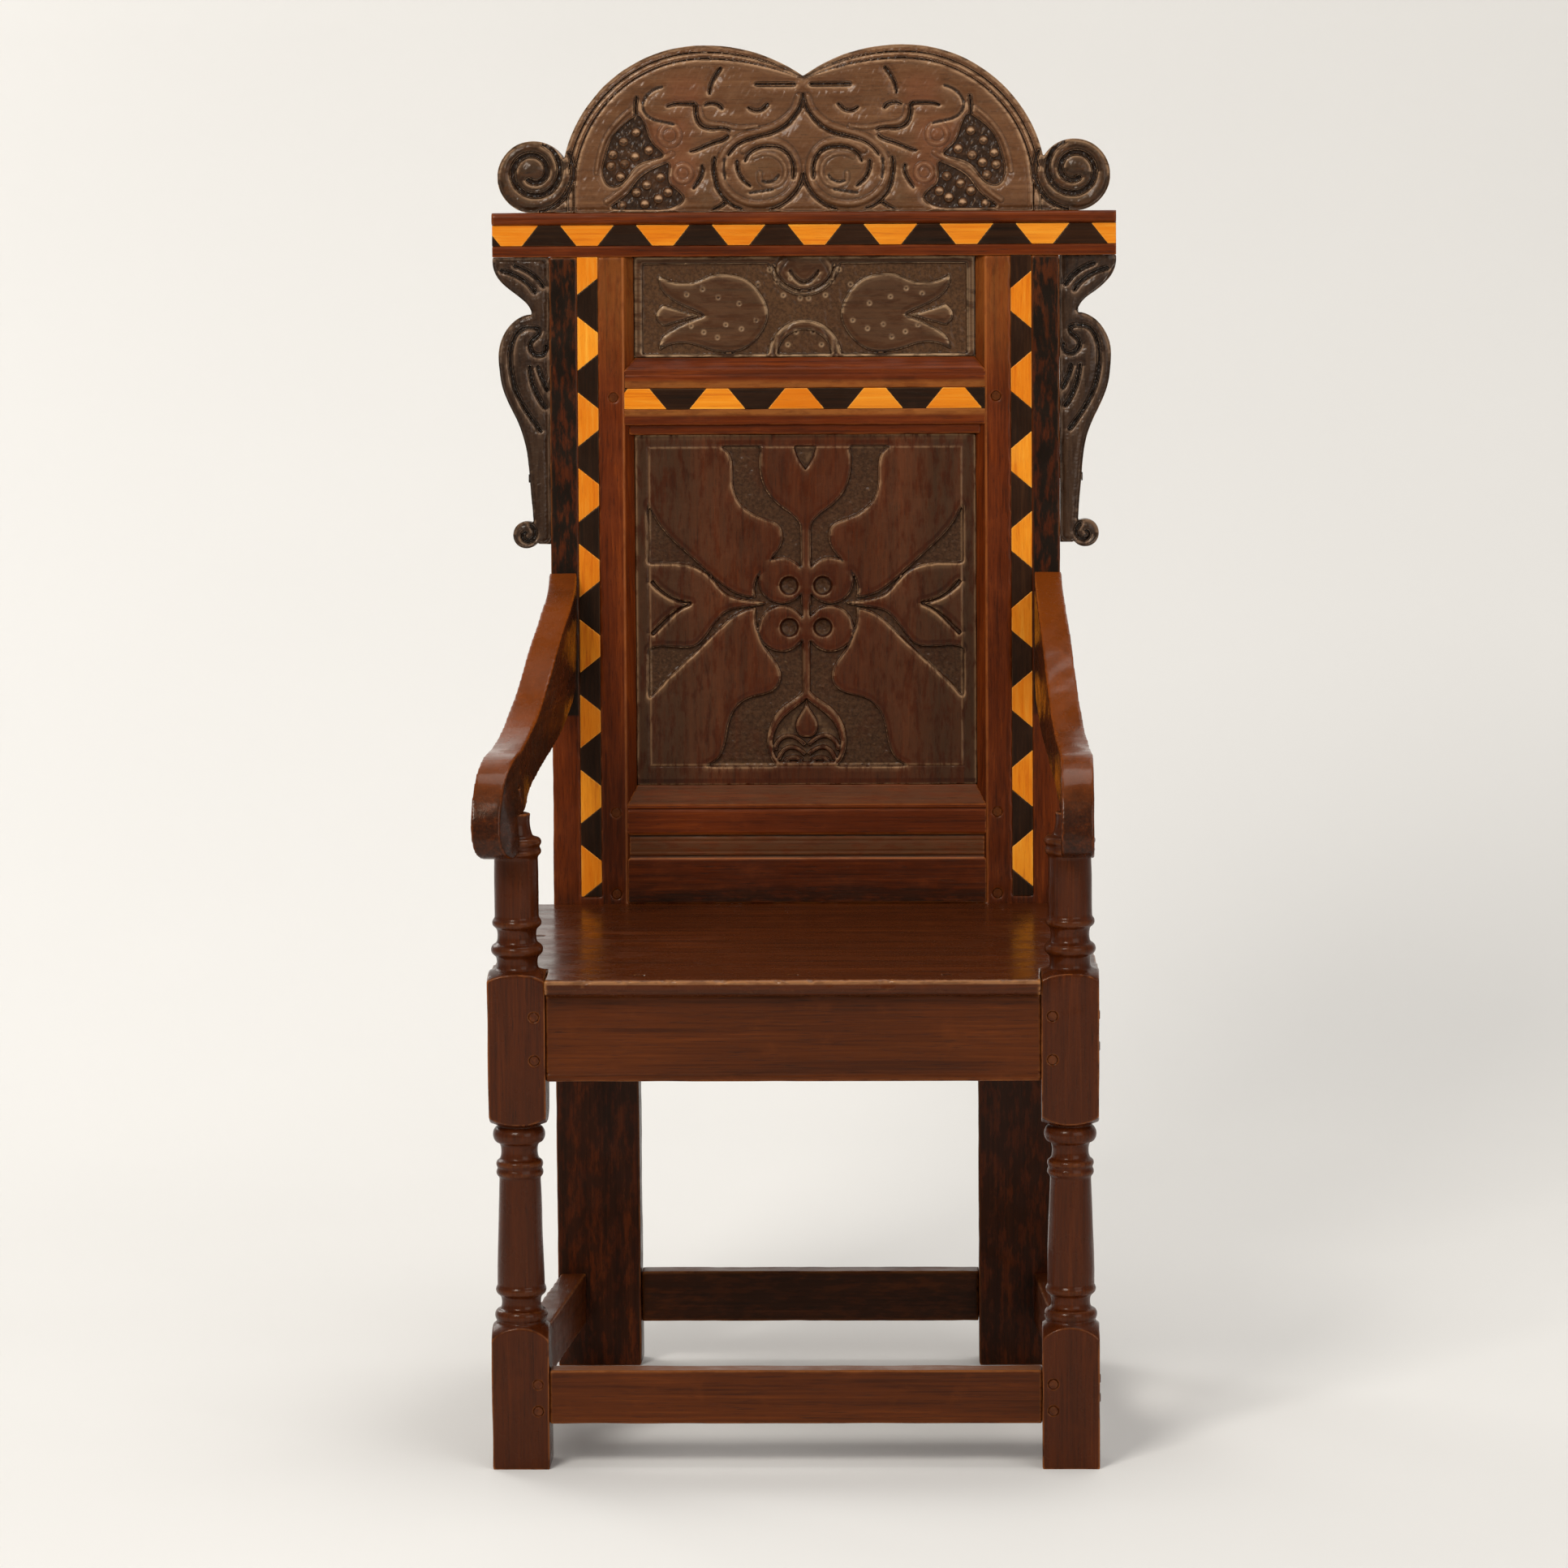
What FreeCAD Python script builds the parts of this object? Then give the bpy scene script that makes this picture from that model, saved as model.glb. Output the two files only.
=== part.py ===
import FreeCAD, Part
import math
import os

Vector = FreeCAD.Vector

# Whole chair, in millimetres. The floor is Z = 0 and the sitter faces -Y.
# Left and right are those of someone who stands in front of the chair.
seat_height = 450.0
front_span = 549.0
back_span = 485.0
seat_run = 447.7
back_rise = 617.0
rake_share = 0.06
sides = (("left", -1), ("right", 1))

# Joinery that all the frames share
tenon_thickness = 9.0
tenon_length = 30.0
tenon_shoulder = 7.0
joint_play = 0.1
mortise_gap = 1.0
overrun = 2.0
peg_radius = 4.2
peg_play = 0.2
peg_proud = 1.0
back_peg_proud = 0.3
peg_setback = 10.0
side_peg_shares = (0.32, 0.68)
bottom_peg_shares = (0.10, 0.92)

# Front legs, each one bar with two square blocks and two turned lengths
leg_square = 52.0
foot_block_height = 114.0
upper_block_low = 326.0
upper_block_high = 444.0
post_tenon_radius = 5.0
post_tenon_length = 22.0
corner_share = 1.5
# Each row of a turning gives how far up it ends, its radius there as a share of half the
# square, and how far the curve that leads to it swells (plus) or hollows (minus)
lower_turning_shares = (
    (0.083, 0.88, 0.10), (0.086, 0.80, 0.0), (0.089, 0.84, 0.0), (0.139, 0.84, 0.09),
    (0.141, 0.73, 0.0), (0.200, 0.73, -0.05), (0.203, 0.79, 0.0), (0.245, 0.79, 0.09),
    (0.247, 0.82, 0.0), (0.713, 0.71, 0.02), (0.715, 0.74, 0.0), (0.749, 0.74, 0.08),
    (0.752, 0.74, 0.0), (0.786, 0.74, 0.08), (0.789, 0.68, 0.0), (0.859, 0.68, -0.05),
    (0.863, 0.80, 0.0), (0.927, 0.80, 0.11), (0.930, 0.73, 0.0), (0.940, 0.73, 0.0),
    (0.942, 0.82, 0.0), (1.000, 1.5, 0.12),
)
post_turning_shares = (
    (0.062, 0.88, 0.10), (0.072, 0.73, 0.0), (0.146, 0.73, -0.03), (0.155, 0.80, 0.0),
    (0.219, 0.80, 0.10), (0.226, 0.71, 0.0), (0.316, 0.71, -0.04), (0.322, 0.78, 0.0),
    (0.374, 0.78, 0.08), (0.380, 0.77, 0.0), (0.740, 0.75, 0.01), (0.750, 0.79, 0.0),
    (0.797, 0.79, 0.09), (0.803, 0.79, 0.0), (0.855, 0.79, 0.10), (0.862, 0.60, 0.0),
    (1.000, 0.52, -0.06),
)

# Seat rails and stretchers
rail_thickness = 26.0
rail_height = 79.0
rail_setback = 3.0
rail_bead_radius = 1.6
rail_bead_rise = 8.0
stretcher_thickness = 24.0
stretcher_height = 49.0
stretcher_low = 41.5
back_rail_inset = 9.0

# Seat board
seat_thickness = 16.0
seat_nosing = 14.0
seat_back_half = 260.0
seat_gap = 0.3
nosing_under_radius = 9.0
nosing_top_radius = 3.0
seat_peg_radius = 4.0
seat_peg_length = 46.0
seat_peg_spread_share = 0.62

# Back stiles and the bevel round the panels
stile_width = 80.0
stile_depth = 44.0
bevel_width = 9.5
bevel_depth = 11.0
stile_tenon_width = 44.0
stile_tenon_length = 26.0

# Rails of the back. Heights run up the rake from the seat.
bottom_rail_height = 113.0
bottom_bevel_rise = 18.0
bottom_band_low = 43.0
bottom_band_high = 67.0
bottom_band_depth = 1.6
mid_rail_low = 457.5
mid_rail_high = 510.0
mid_bevel_rise = 11.0
mid_lip_drop = 9.5
mid_lip_depth = 5.0
top_rail_height = 42.0
top_rail_overhang = 54.0
cap_height = 11.0
cap_proud = 5.0
cap_round = 4.0
back_tenon_centre = 22.0

# Panels in their grooves
groove_depth = 9.0
panel_tongue = 8.0
panel_setback = 12.0
panel_thickness = 12.0
tongue_setback = 2.0
panel_play = 0.2
panel_gap = 1.0

# Carved fields of the panels
lower_relief = 4.5
lower_margin_side = 12.5
lower_margin_low = 18.0
lower_margin_high = 11.5
lower_stem_half_width = 4.6
lower_foot_stem_half_width = 3.2
onion_leaf_half_width = 1.7
whorl_radius = 22.0
whorl_centre_shares = ((0.155, 0.58), (0.155, 0.43))
eye_radius = 9.5
eye_depth = 5.5
eye_centre_shares = ((0.107, 0.564), (0.107, 0.433))
upper_relief = 3.0
upper_margin_side = 8.0
upper_margin_low = 3.0
upper_margin_high = 7.0
half_ring_centre_share = (0, -0.03)
half_ring_radius = 35.0
half_ring_width = 9.0
pendant_centre_share = (0, 1.04)
pendant_radius = 34.0
pendant_rim_width = 4.0

# Inlay bands
inlay_depth = 2.5
inlay_play = 0.1
stile_inlay_inset = 26.5
stile_inlay_width = 20.0
stile_inlay_low = 7.0
top_inlay_low = 10.5
top_inlay_width = 20.0
mid_inlay_low = 14.5
mid_inlay_width = 20.0
wide_share = 0.72
band_pitch = {"left": 72.0, "right": 76.0, "top": 72.1, "mid": 75.0}
band_start = {"left": 31.0, "right": 43.0, "top": 10.3, "mid": -8.0}

# Cresting
crest_height = 158.0
crest_thickness = 28.0
crest_setback = 3.0
arch_apex_out = 94.0
arch_outer_radius = 137.0
arch_valley_height = 128.6
valley_inset_share = 0.25
volute_out = 257.0
volute_radius = 34.0
crest_foot_height = 20.0
crest_dowel_radius = 6.0
crest_dowel_length = 44.0
crest_dowel_share = 0.9
crest_relief = 4.5
crest_rim_width = 17.5
crest_rim_grooves = ((5.6, 7.6), (11.8, 13.6))
crest_rim_groove_depth = 2.2
crest_field_rise = 2.0
crest_field_sink = 1.0
crest_line_half_width = 1.4
crest_line_end_half_width = 1.0
bead_radius = 4.3
vein_half_width = 1.0
vein_end_half_width = 2.0
vein_depth = 3.0
volute_groove_half_width = 2.2
volute_groove_depth = 5.0
volute_eye_height = 39.0
volute_groove_radii = (28.0, 8.5)
volute_start_turn = 0.3
volute_turns = 1.57
volute_edge_radius = 38.0
volute_edge_start_turn = 0.42
volute_edge_turns = 0.31

# Ear brackets, outside the stiles and under the ends of the top rail
ear_width = 54.0
ear_drop = 277.0
ear_thickness = 22.0
ear_setback = 7.0
ear_volute_radius = 13.0
ear_leaf_shares = ((1.0, 0.0), (0.89, 0.076), (0.65, 0.119), (0.37, 0.166), (0.31, 0.196))
ear_scroll_shares = (
    (0.31, 0.196), (0.48, 0.202), (0.72, 0.238), (0.88, 0.300), (0.90, 0.380), (0.84, 0.450),
    (0.60, 0.555), (0.44, 0.650), (0.38, 0.760), (0.33, 0.870), (0.30, 0.935), (0.22, 0.985),
)
ear_volute_share = 0.44
ear_groove_half_width = 1.5
ear_groove_depth = 3.6
ear_whorl_start_turn = 0.3
ear_whorl_turns = 0.95
ear_groove_shares = (
    ((0.25, 0.125), (0.42, 0.084), (0.66, 0.056), (0.88, 0.044)),
    ((0.10, 0.105), (0.26, 0.066), (0.46, 0.040), (0.64, 0.028)),
    ((0.08, 0.300), (0.14, 0.335), (0.30, 0.330), (0.32, 0.285), (0.16, 0.256), (0.40, 0.240),
     (0.66, 0.290), (0.70, 0.370), (0.60, 0.460), (0.38, 0.540), (0.16, 0.600)),
    ((0.36, 0.370), (0.30, 0.440), (0.08, 0.520)),
    ((0.22, 0.370), (0.14, 0.420), (0.04, 0.460)),
)
nail_radius = 1.6
nail_head_radius = 4.0
nail_head_height = 1.2
nail_length = 36.0
nail_play = 0.15
ear_nail_shares = ((0.31, 0.196), (0.38, 0.76))

# Arms. Outline shares run from the front of the scroll to the stile, and from the flat on
# which the post bears up to the arm's top at the stile.
arm_width_back = 26.0
arm_width_front = 30.0
arm_overhang = 36.0
arm_base = 596.0
arm_top_at_stile = 767.0
arm_flat_length = 44.0
arm_roll_radius = 20.0
arm_roll_drop = 16.0
arm_notch_radius = 8.0
arm_front_out = {"left": 25.0, "right": 7.2}
arm_post_out = {"left": 8.0, "right": 6.2}
arm_back_out = {"left": 4.0, "right": 1.5}
# Stations from the front of the scroll to the stile, how far out the two middle ones bow
# between stile and post, how much the sawn faces lean out at each, and how wide it is there
arm_station_shares = (0.0, 0.123, 0.264, 0.458, 1.0)
arm_bow_shares = {"left": (1.01, 0.74), "right": (0.89, 0.61)}
arm_cant_shares = {"left": (0.08, 0.12, 0.06, 0.0, 0.0), "right": (0.0, 0.0, 0.0, 0.0, 0.0)}
arm_width_shares = {"left": (0.85, 1.0, 1.0, 1.0, 1.0), "right": (0.97, 1.0, 1.0, 1.0, 1.0)}
arm_tenon_thickness = 10.0
arm_tenon_low = 30.0
arm_tenon_height = 60.0
arm_top_shares = (
    (0.010, 0.058), (0.044, 0.205), (0.111, 0.287), (0.230, 0.292), (0.371, 0.327), (0.498, 0.444),
    (0.613, 0.620), (0.746, 0.801), (0.885, 0.906), (1.050, 1.050),
)
arm_under_shares = ((0.296, 0.029), (0.413, 0.076), (0.601, 0.158), (0.764, 0.240), (1.050, 0.425))
arm_peg_radius = 2.2

# Outlines of the carving, as shares of their field: across from the middle, up from its foot
tulip_north_shares = (
    (0.281, 1), (0.284, 0.915), (0.247, 0.862), (0.167, 0.816), (0.080, 0.784), (0.020, 0.730),
)
notch_north_shares = ((0, 0.925), (0.035, 0.95), (0.07, 1))
lobe_high_inner_shares = (
    (0.548, 1), (0.475, 0.967), (0.462, 0.882), (0.428, 0.830), (0.348, 0.793), (0.241, 0.770),
    (0.167, 0.751), (0.147, 0.718), (0.167, 0.682), (0.227, 0.646), (0.294, 0.607), (0.321, 0.528),
)
lobe_high_outer_shares = (
    (0.321, 0.528), (0.482, 0.551), (0.562, 0.580), (0.716, 0.649), (0.896, 0.734), (1, 0.823),
)
lobe_low_outer_shares = (
    (1, 0.213), (0.836, 0.298), (0.649, 0.384), (0.569, 0.423), (0.482, 0.462), (0.321, 0.495),
)
lobe_low_inner_shares = (
    (0.321, 0.495), (0.314, 0.430), (0.274, 0.380), (0.207, 0.334), (0.167, 0.295), (0.174, 0.259),
    (0.227, 0.233), (0.321, 0.220), (0.415, 0.200), (0.475, 0.164), (0.508, 0.111), (0.540, 0.045),
    (0.656, 0),
)
tulip_side_high_shares = (
    (0.250, 0.51), (0.435, 0.525), (0.515, 0.541), (0.575, 0.574), (0.635, 0.603), (0.702, 0.623),
    (0.789, 0.633), (1, 0.636),
)
tulip_side_low_shares = (
    (0.250, 0.51), (0.435, 0.495), (0.515, 0.482), (0.582, 0.449), (0.642, 0.407), (0.696, 0.380),
    (0.783, 0.372), (1, 0.367),
)
onion_shares = (
    (0, 0.245), (0.084, 0.207), (0.174, 0.174), (0.227, 0.134), (0.251, 0.089), (0.240, 0.040),
    (0.190, 0),
)
lower_vein_shares = (
    ((0.729, 0.511), (0.829, 0.521), (0.910, 0.544), (0.983, 0.580)),
    ((0.729, 0.508), (0.816, 0.489), (0.910, 0.449), (0.983, 0.413)),
)
onion_hollow_shares = (
    (0, 0.212), (0.080, 0.180), (0.155, 0.148), (0.205, 0.105), (0.218, 0.060), (0.175, 0.012),
)
heart_shares = ((0, 0.205), (0.035, 0.165), (0.070, 0.125), (0.050, 0.098), (0, 0.090))
onion_leaf_shares = (
    ((0.013, 0.065), (0.060, 0.086), (0.125, 0.094), (0.180, 0.078), (0.200, 0.050)),
    ((0.013, 0.036), (0.060, 0.054), (0.115, 0.058), (0.160, 0.042), (0.178, 0.020)),
    ((0.030, 0.018), (0.085, 0.026), (0.140, 0.016)),
)
upper_tulip_shares = (
    (0.896, 0.880), (0.784, 0.795), (0.667, 0.806), (0.568, 0.877), (0.457, 0.883), (0.360, 0.830),
    (0.268, 0.663), (0.225, 0.430), (0.261, 0.256), (0.327, 0.116), (0.405, 0.040), (0.510, 0.030),
    (0.600, 0.060), (0.673, 0.105), (0.771, 0.128), (0.896, 0.050),
)
upper_petal_low_shares = ((0.896, 0.050), (0.875, 0.186), (0.810, 0.279), (0.719, 0.360), (0.614, 0.430))
upper_petal_high_shares = ((0.614, 0.430), (0.719, 0.520), (0.810, 0.600), (0.875, 0.706), (0.896, 0.880))
upper_bud_tip_share = (0.653, 0.430)
upper_bud_end_shares = ((0.870, 0.545), (0.915, 0.430), (0.870, 0.315))
chevron_shares = ((0.09, 0.93), (0, 0.79), (-0.09, 0.93))
# The cresting's own carving, as shares of its height from its middle and its foot: the deep
# lines round the heads, scrolls and leaves, the fine lines on them, and the two sunk pods
crest_line_shares = (
    ((0, 0.715), (0.019, 0.627), (0.051, 0.576), (0.095, 0.525), (0.139, 0.494), (0.190, 0.472),
     (0.253, 0.456), (0.316, 0.440), (0.380, 0.415), (0.424, 0.380), (0.456, 0.335)),
    ((0.063, 0.196), (0.057, 0.259), (0.070, 0.316), (0.095, 0.354), (0.139, 0.383), (0.203, 0.392),
     (0.266, 0.386), (0.310, 0.364), (0.342, 0.329), (0.351, 0.297)),
    ((0.399, 0.316), (0.396, 0.259), (0.380, 0.215), (0.361, 0.190), (0.335, 0.168), (0.316, 0.152)),
    ((0.532, 0.335), (0.541, 0.259), (0.532, 0.196), (0.513, 0.133), (0.475, 0.082), (0.430, 0.044),
     (0.367, 0.019)),
    ((0, 0.240), (0.006, 0.196), (0.032, 0.139), (0.070, 0.089), (0.108, 0.057), (0.152, 0.032),
     (0.203, 0.015)),
    ((0.209, 0.652), (0.234, 0.623), (0.259, 0.608), (0.297, 0.608), (0.332, 0.630)),
    ((0.490, 0.868), (0.519, 0.829), (0.544, 0.785), (0.560, 0.734), (0.560, 0.703)),
    ((0.487, 0.614), (0.500, 0.639), (0.532, 0.652), (0.570, 0.652), (0.595, 0.639)),
    ((0.642, 0.646), (0.646, 0.608), (0.639, 0.557), (0.620, 0.525), (0.589, 0.506), (0.538, 0.500),
     (0.481, 0.503), (0.437, 0.487)),
    ((0.646, 0.652), (0.728, 0.652), (0.778, 0.649), (0.823, 0.633)),
    ((0.446, 0.462), (0.484, 0.434), (0.525, 0.421), (0.570, 0.405), (0.620, 0.383), (0.684, 0.364)),
    ((0.614, 0.285), (0.608, 0.241), (0.620, 0.209), (0.639, 0.177), (0.665, 0.139)),
    ((0.472, 0.057), (0.506, 0.035), (0.551, 0.015)),
    ((1.000, 0.700), (1.006, 0.640), (1.003, 0.560)),
)
crest_vein_shares = (
    ((0.842, 0.753), (0.899, 0.734), (0.943, 0.696), (0.965, 0.639), (0.946, 0.589), (0.899, 0.557),
     (0.835, 0.541), (0.772, 0.525)),
    ((0.177, 0.136), (0.253, 0.124), (0.329, 0.114)),
    ((0.475, 0.325), (0.478, 0.260), (0.470, 0.196)),
    ((0.148, 0.230), (0.177, 0.190), (0.215, 0.180), (0.253, 0.187)),
)
crest_slit_shares = ((0.041, 0.766), (0.291, 0.766))
pod_high_shares = (
    (1.006, 0.580), (1.076, 0.532), (1.152, 0.449), (1.190, 0.342), (1.209, 0.247), (1.165, 0.158),
    (1.101, 0.171), (1.025, 0.259), (0.937, 0.310), (0.842, 0.348), (0.892, 0.399), (0.937, 0.481),
)
pod_low_shares = (
    (0.823, 0.297), (0.911, 0.259), (0.981, 0.215), (1.032, 0.152), (1.089, 0.089), (1.158, 0.032),
    (1.044, 0.016), (0.918, 0.016), (0.804, 0.025), (0.722, 0.082), (0.766, 0.139), (0.810, 0.196),
)
bead_high_shares = (
    (1.006, 0.481), (1.082, 0.424), (0.930, 0.373), (1.013, 0.335), (1.146, 0.348), (1.076, 0.291),
    (1.158, 0.278), (1.101, 0.215),
)
bead_low_shares = (
    (0.861, 0.209), (0.943, 0.165), (0.816, 0.120), (1.006, 0.120), (0.873, 0.082), (0.956, 0.051),
    (1.095, 0.045),
)

# Places that follow from the sizes above
rake = math.atan(rake_share)
half_square = leg_square / 2
leg_x = front_span / 2 - half_square
stile_outer = back_span / 2
stile_inner = stile_outer - stile_width
arris = stile_inner + bevel_width
top_rail_low = back_rise
mid_sight_low = mid_rail_low - mid_lip_drop
mid_sight_high = mid_rail_high + mid_bevel_rise
crest_low = top_rail_low + top_rail_height
rearmost = max(
    crest_low * math.sin(rake) + stile_depth * math.cos(rake),
    (crest_low + crest_height) * math.sin(rake) + (crest_setback + crest_thickness) * math.cos(rake),
)
overall_depth = arm_overhang + seat_run + rearmost
leg_front = arm_overhang - overall_depth / 2
leg_y = leg_front + half_square
back_front = leg_front + seat_run
rail_high = seat_height - seat_thickness
rail_low = rail_high - rail_height
stretcher_high = stretcher_low + stretcher_height


def box(x0, x1, y0, y1, z0, z1):
    """A block between three pairs of planes, each pair in any order."""
    low = Vector(min(x0, x1), min(y0, y1), min(z0, z1))
    return Part.makeBox(abs(x1 - x0), abs(y1 - y0), abs(z1 - z0), low)


def prism(points, sweep):
    """The closed polygon through the points, extruded along the sweep."""
    corners = [Vector(*point) for point in points]
    return Part.Face(Part.makePolygon(corners + corners[:1])).extrude(sweep)


def curve(points):
    """One smooth edge through the points."""
    spline = Part.BSplineCurve()
    spline.interpolate([Vector(*point) for point in points])
    return spline.toShape()


def line(start, end):
    return Part.makeLine(Vector(*start), Vector(*end))


def arc(start, middle, end):
    return Part.Arc(Vector(*start), Vector(*middle), Vector(*end)).toShape()


def plate(edges, sweep):
    """The face inside the edges, extruded along the sweep."""
    return Part.Face(Part.Wire(edges)).extrude(sweep)


def mirrored(shape):
    return shape.mirror(Vector(0, 0, 0), Vector(1, 0, 0))


def both_sides(solids):
    """Solids drawn for the right, with their mirror images."""
    return solids + [mirrored(solid) for solid in solids]


def on_side(shape, side):
    """A shape drawn for the right, or its mirror image for the left."""
    return shape if side > 0 else mirrored(shape)


def lean(shape):
    """Tip a shape that is drawn upright on the stiles' front face back to the rake."""
    tipped = shape.copy()
    tipped.rotate(Vector(0, back_front, seat_height), Vector(1, 0, 0), -math.degrees(rake))
    return tipped


def upright_box(x0, x1, depth0, depth1, up0, up1):
    """A block in the upright drawing of the back: across, into the back, up from the seat."""
    return box(x0, x1, back_front + depth0, back_front + depth1, seat_height + up0, seat_height + up1)


def rod(radius, start, direction, length):
    return Part.makeCylinder(radius, length, Vector(*start), Vector(*direction))


def joined(shapes):
    """Solids fused into one, with the seams between their coplanar faces removed."""
    return shapes[0].fuse(list(shapes[1:])).removeSplitter()


def cut_all(shape, tools):
    return shape.cut(list(tools)) if tools else shape


# Tenons and the mortises that take them

def cross_tenon(x_face, side, y_mid, z0, z1, length):
    """A tenon along X that leaves a rail's end at x_face, and its mortise."""
    half = tenon_thickness / 2
    x_end = x_face + side * length
    tenon = box(x_face, x_end, y_mid - half, y_mid + half, z0, z1)
    room = half + joint_play
    mortise = box(x_face - side * overrun, x_end + side * mortise_gap, y_mid - room, y_mid + room,
                  z0 - joint_play, z1 + joint_play)
    return tenon, mortise


def side_bar(setback, thickness, z0, z1):
    """A rail between the right front leg and stile, with tenons, and the mortises' solid."""
    y0 = leg_front + leg_square
    y1 = back_front
    x0 = front_span / 2 - setback - thickness / 2
    x1 = stile_outer - setback - thickness / 2
    slope = (x1 - x0) / (y1 - y0)

    def bar(half, end_run, low, high):
        """The bar's plan, drawn out past both shoulders by end_run, between two heights."""
        ya, yb = y0 - end_run, y1 + end_run
        xa, xb = x0 - slope * end_run, x1 + slope * end_run
        plan = [(xa - half, ya, low), (xa + half, ya, low), (xb + half, yb, low), (xb - half, yb, low)]
        return prism(plan, Vector(0, 0, high - low))

    low, high = z0 + tenon_shoulder, z1 - tenon_shoulder
    tenons = bar(tenon_thickness / 2, tenon_length, low, high)
    mortises = bar(tenon_thickness / 2 + joint_play, tenon_length + mortise_gap,
                   low - joint_play, high + joint_play)
    return joined([bar(thickness / 2, 0, z0, z1), tenons]), mortises


def end_bar(half_length, y0, thickness, z0, z1):
    """A rail across the chair with a tenon at each end, and the right mortise's solid."""
    y_mid = y0 + thickness / 2
    low, high = z0 + tenon_shoulder, z1 - tenon_shoulder
    solids = [box(-half_length, half_length, y0, y0 + thickness, z0, z1)]
    tenon, mortise = cross_tenon(half_length, 1, y_mid, low, high, tenon_length)
    solids += [tenon, mirrored(tenon)]
    return joined(solids), mortise


# Seat rails and stretchers

leg_inner = leg_x - half_square
rail_front, rail_front_mortise = end_bar(
    leg_inner, leg_front + rail_setback, rail_thickness, rail_low, rail_high)
bead_z = rail_low + rail_bead_rise
rail_front = rail_front.cut(rod(
    rail_bead_radius, (-leg_inner - overrun, leg_front + rail_setback, bead_z), (1, 0, 0),
    2 * (leg_inner + overrun)))
rail_back, rail_back_mortise = end_bar(
    stile_inner, back_front + back_rail_inset, rail_thickness, rail_low, rail_high)
stretcher_front, stretcher_front_mortise = end_bar(
    leg_inner, leg_front + rail_setback, stretcher_thickness, stretcher_low, stretcher_high)
stretcher_back, stretcher_back_mortise = end_bar(
    stile_inner, back_front + back_rail_inset, stretcher_thickness, stretcher_low, stretcher_high)
rail_side, rail_side_mortise = side_bar(rail_setback, rail_thickness, rail_low, rail_high)
stretcher_side, stretcher_side_mortise = side_bar(
    rail_setback, stretcher_thickness, stretcher_low, stretcher_high)


# Pegs that pin the tenons

def front_pegs():
    """Pegs through the right front leg's face into the front rail's and stretcher's tenons."""
    x = leg_inner + peg_setback
    length = rail_setback + (rail_thickness + tenon_thickness) / 2 + peg_setback / 2
    heights = [rail_low + rail_height / 4, rail_high - rail_height / 4,
               stretcher_low + stretcher_height / 4, stretcher_high - stretcher_height / 4]
    return [((x, leg_front, z), (0, 1, 0), length) for z in heights]


def side_pegs():
    """Pegs through the outer faces of the right leg and stile into the side tenons."""
    depth = rail_setback + (rail_thickness + tenon_thickness) / 2 + peg_setback / 2
    places = []
    for low, height in ((rail_low, rail_height), (stretcher_low, stretcher_height)):
        for up_share in side_peg_shares:
            z = low + up_share * height
            places.append(((front_span / 2, leg_front + leg_square - peg_setback, z), (-1, 0, 0), depth))
            places.append(((stile_outer, back_front + peg_setback, z), (-1, 0, 0), depth))
    return places


def back_pegs():
    """Pegs through the right stile into the back rail's, lower rails' and top rail's tenons."""
    x = arris + peg_setback
    through = back_tenon_centre + tenon_thickness / 2 + peg_setback / 2
    places = [((x, 0, up), (0, 1, 0), through) for up in bottom_peg_heights()]
    places.append(((x, 0, (mid_rail_low + mid_rail_high) / 2), (0, 1, 0), through))
    return places


def bottom_peg_heights():
    usable = bottom_rail_height - bottom_bevel_rise
    return [up_share * usable for up_share in bottom_peg_shares]


def peg(place, radius=peg_radius, proud=peg_proud):
    """A round peg whose head stands a little proud of the face it was driven through."""
    (x, y, z), (dx, dy, dz), length = place
    start = (x - dx * proud, y - dy * proud, z - dz * proud)
    solid = rod(radius, start, (dx, dy, dz), length + proud)
    rim = [edge for edge in solid.Edges
           if len(edge.Vertexes) == 1 and edge.CenterOfMass.distanceToPoint(Vector(*start)) < proud / 2]
    return solid.makeChamfer(proud / 2, rim)


def peg_hole(place, radius=peg_radius):
    (x, y, z), (dx, dy, dz), length = place
    start = (x - dx * overrun, y - dy * overrun, z - dz * overrun)
    return rod(radius + peg_play, start, (dx, dy, dz), length + overrun + peg_play)


def upright_place(place):
    """Move a place from the upright drawing of the back to the floor frame."""
    (x, depth, up), direction, length = place
    return (x, back_front + depth, seat_height + up), direction, length


front_peg_places = front_pegs()
side_peg_places = side_pegs()
back_peg_places = [upright_place(place) for place in back_pegs()]
front_holes = [peg_hole(place) for place in front_peg_places]
side_holes = [peg_hole(place) for place in side_peg_places]
back_holes = [lean(peg_hole(place)) for place in back_peg_places]


# Front legs

def turned(base, top, start_share, rows):
    """Profile points and edges of a turning between two heights, as edges in the XZ plane."""
    edges = []
    radius, height = start_share * half_square, base
    for up_share, radius_share, swell_share in rows:
        next_height = base + up_share * (top - base)
        next_radius = radius_share * half_square
        start, end = (radius, 0, height), (next_radius, 0, next_height)
        if swell_share:
            middle = ((radius + next_radius) / 2 + swell_share * half_square, 0,
                      (height + next_height) / 2)
            edges.append(arc(start, middle, end))
        else:
            edges.append(line(start, end))
        radius, height = next_radius, next_height
    return edges


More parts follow.
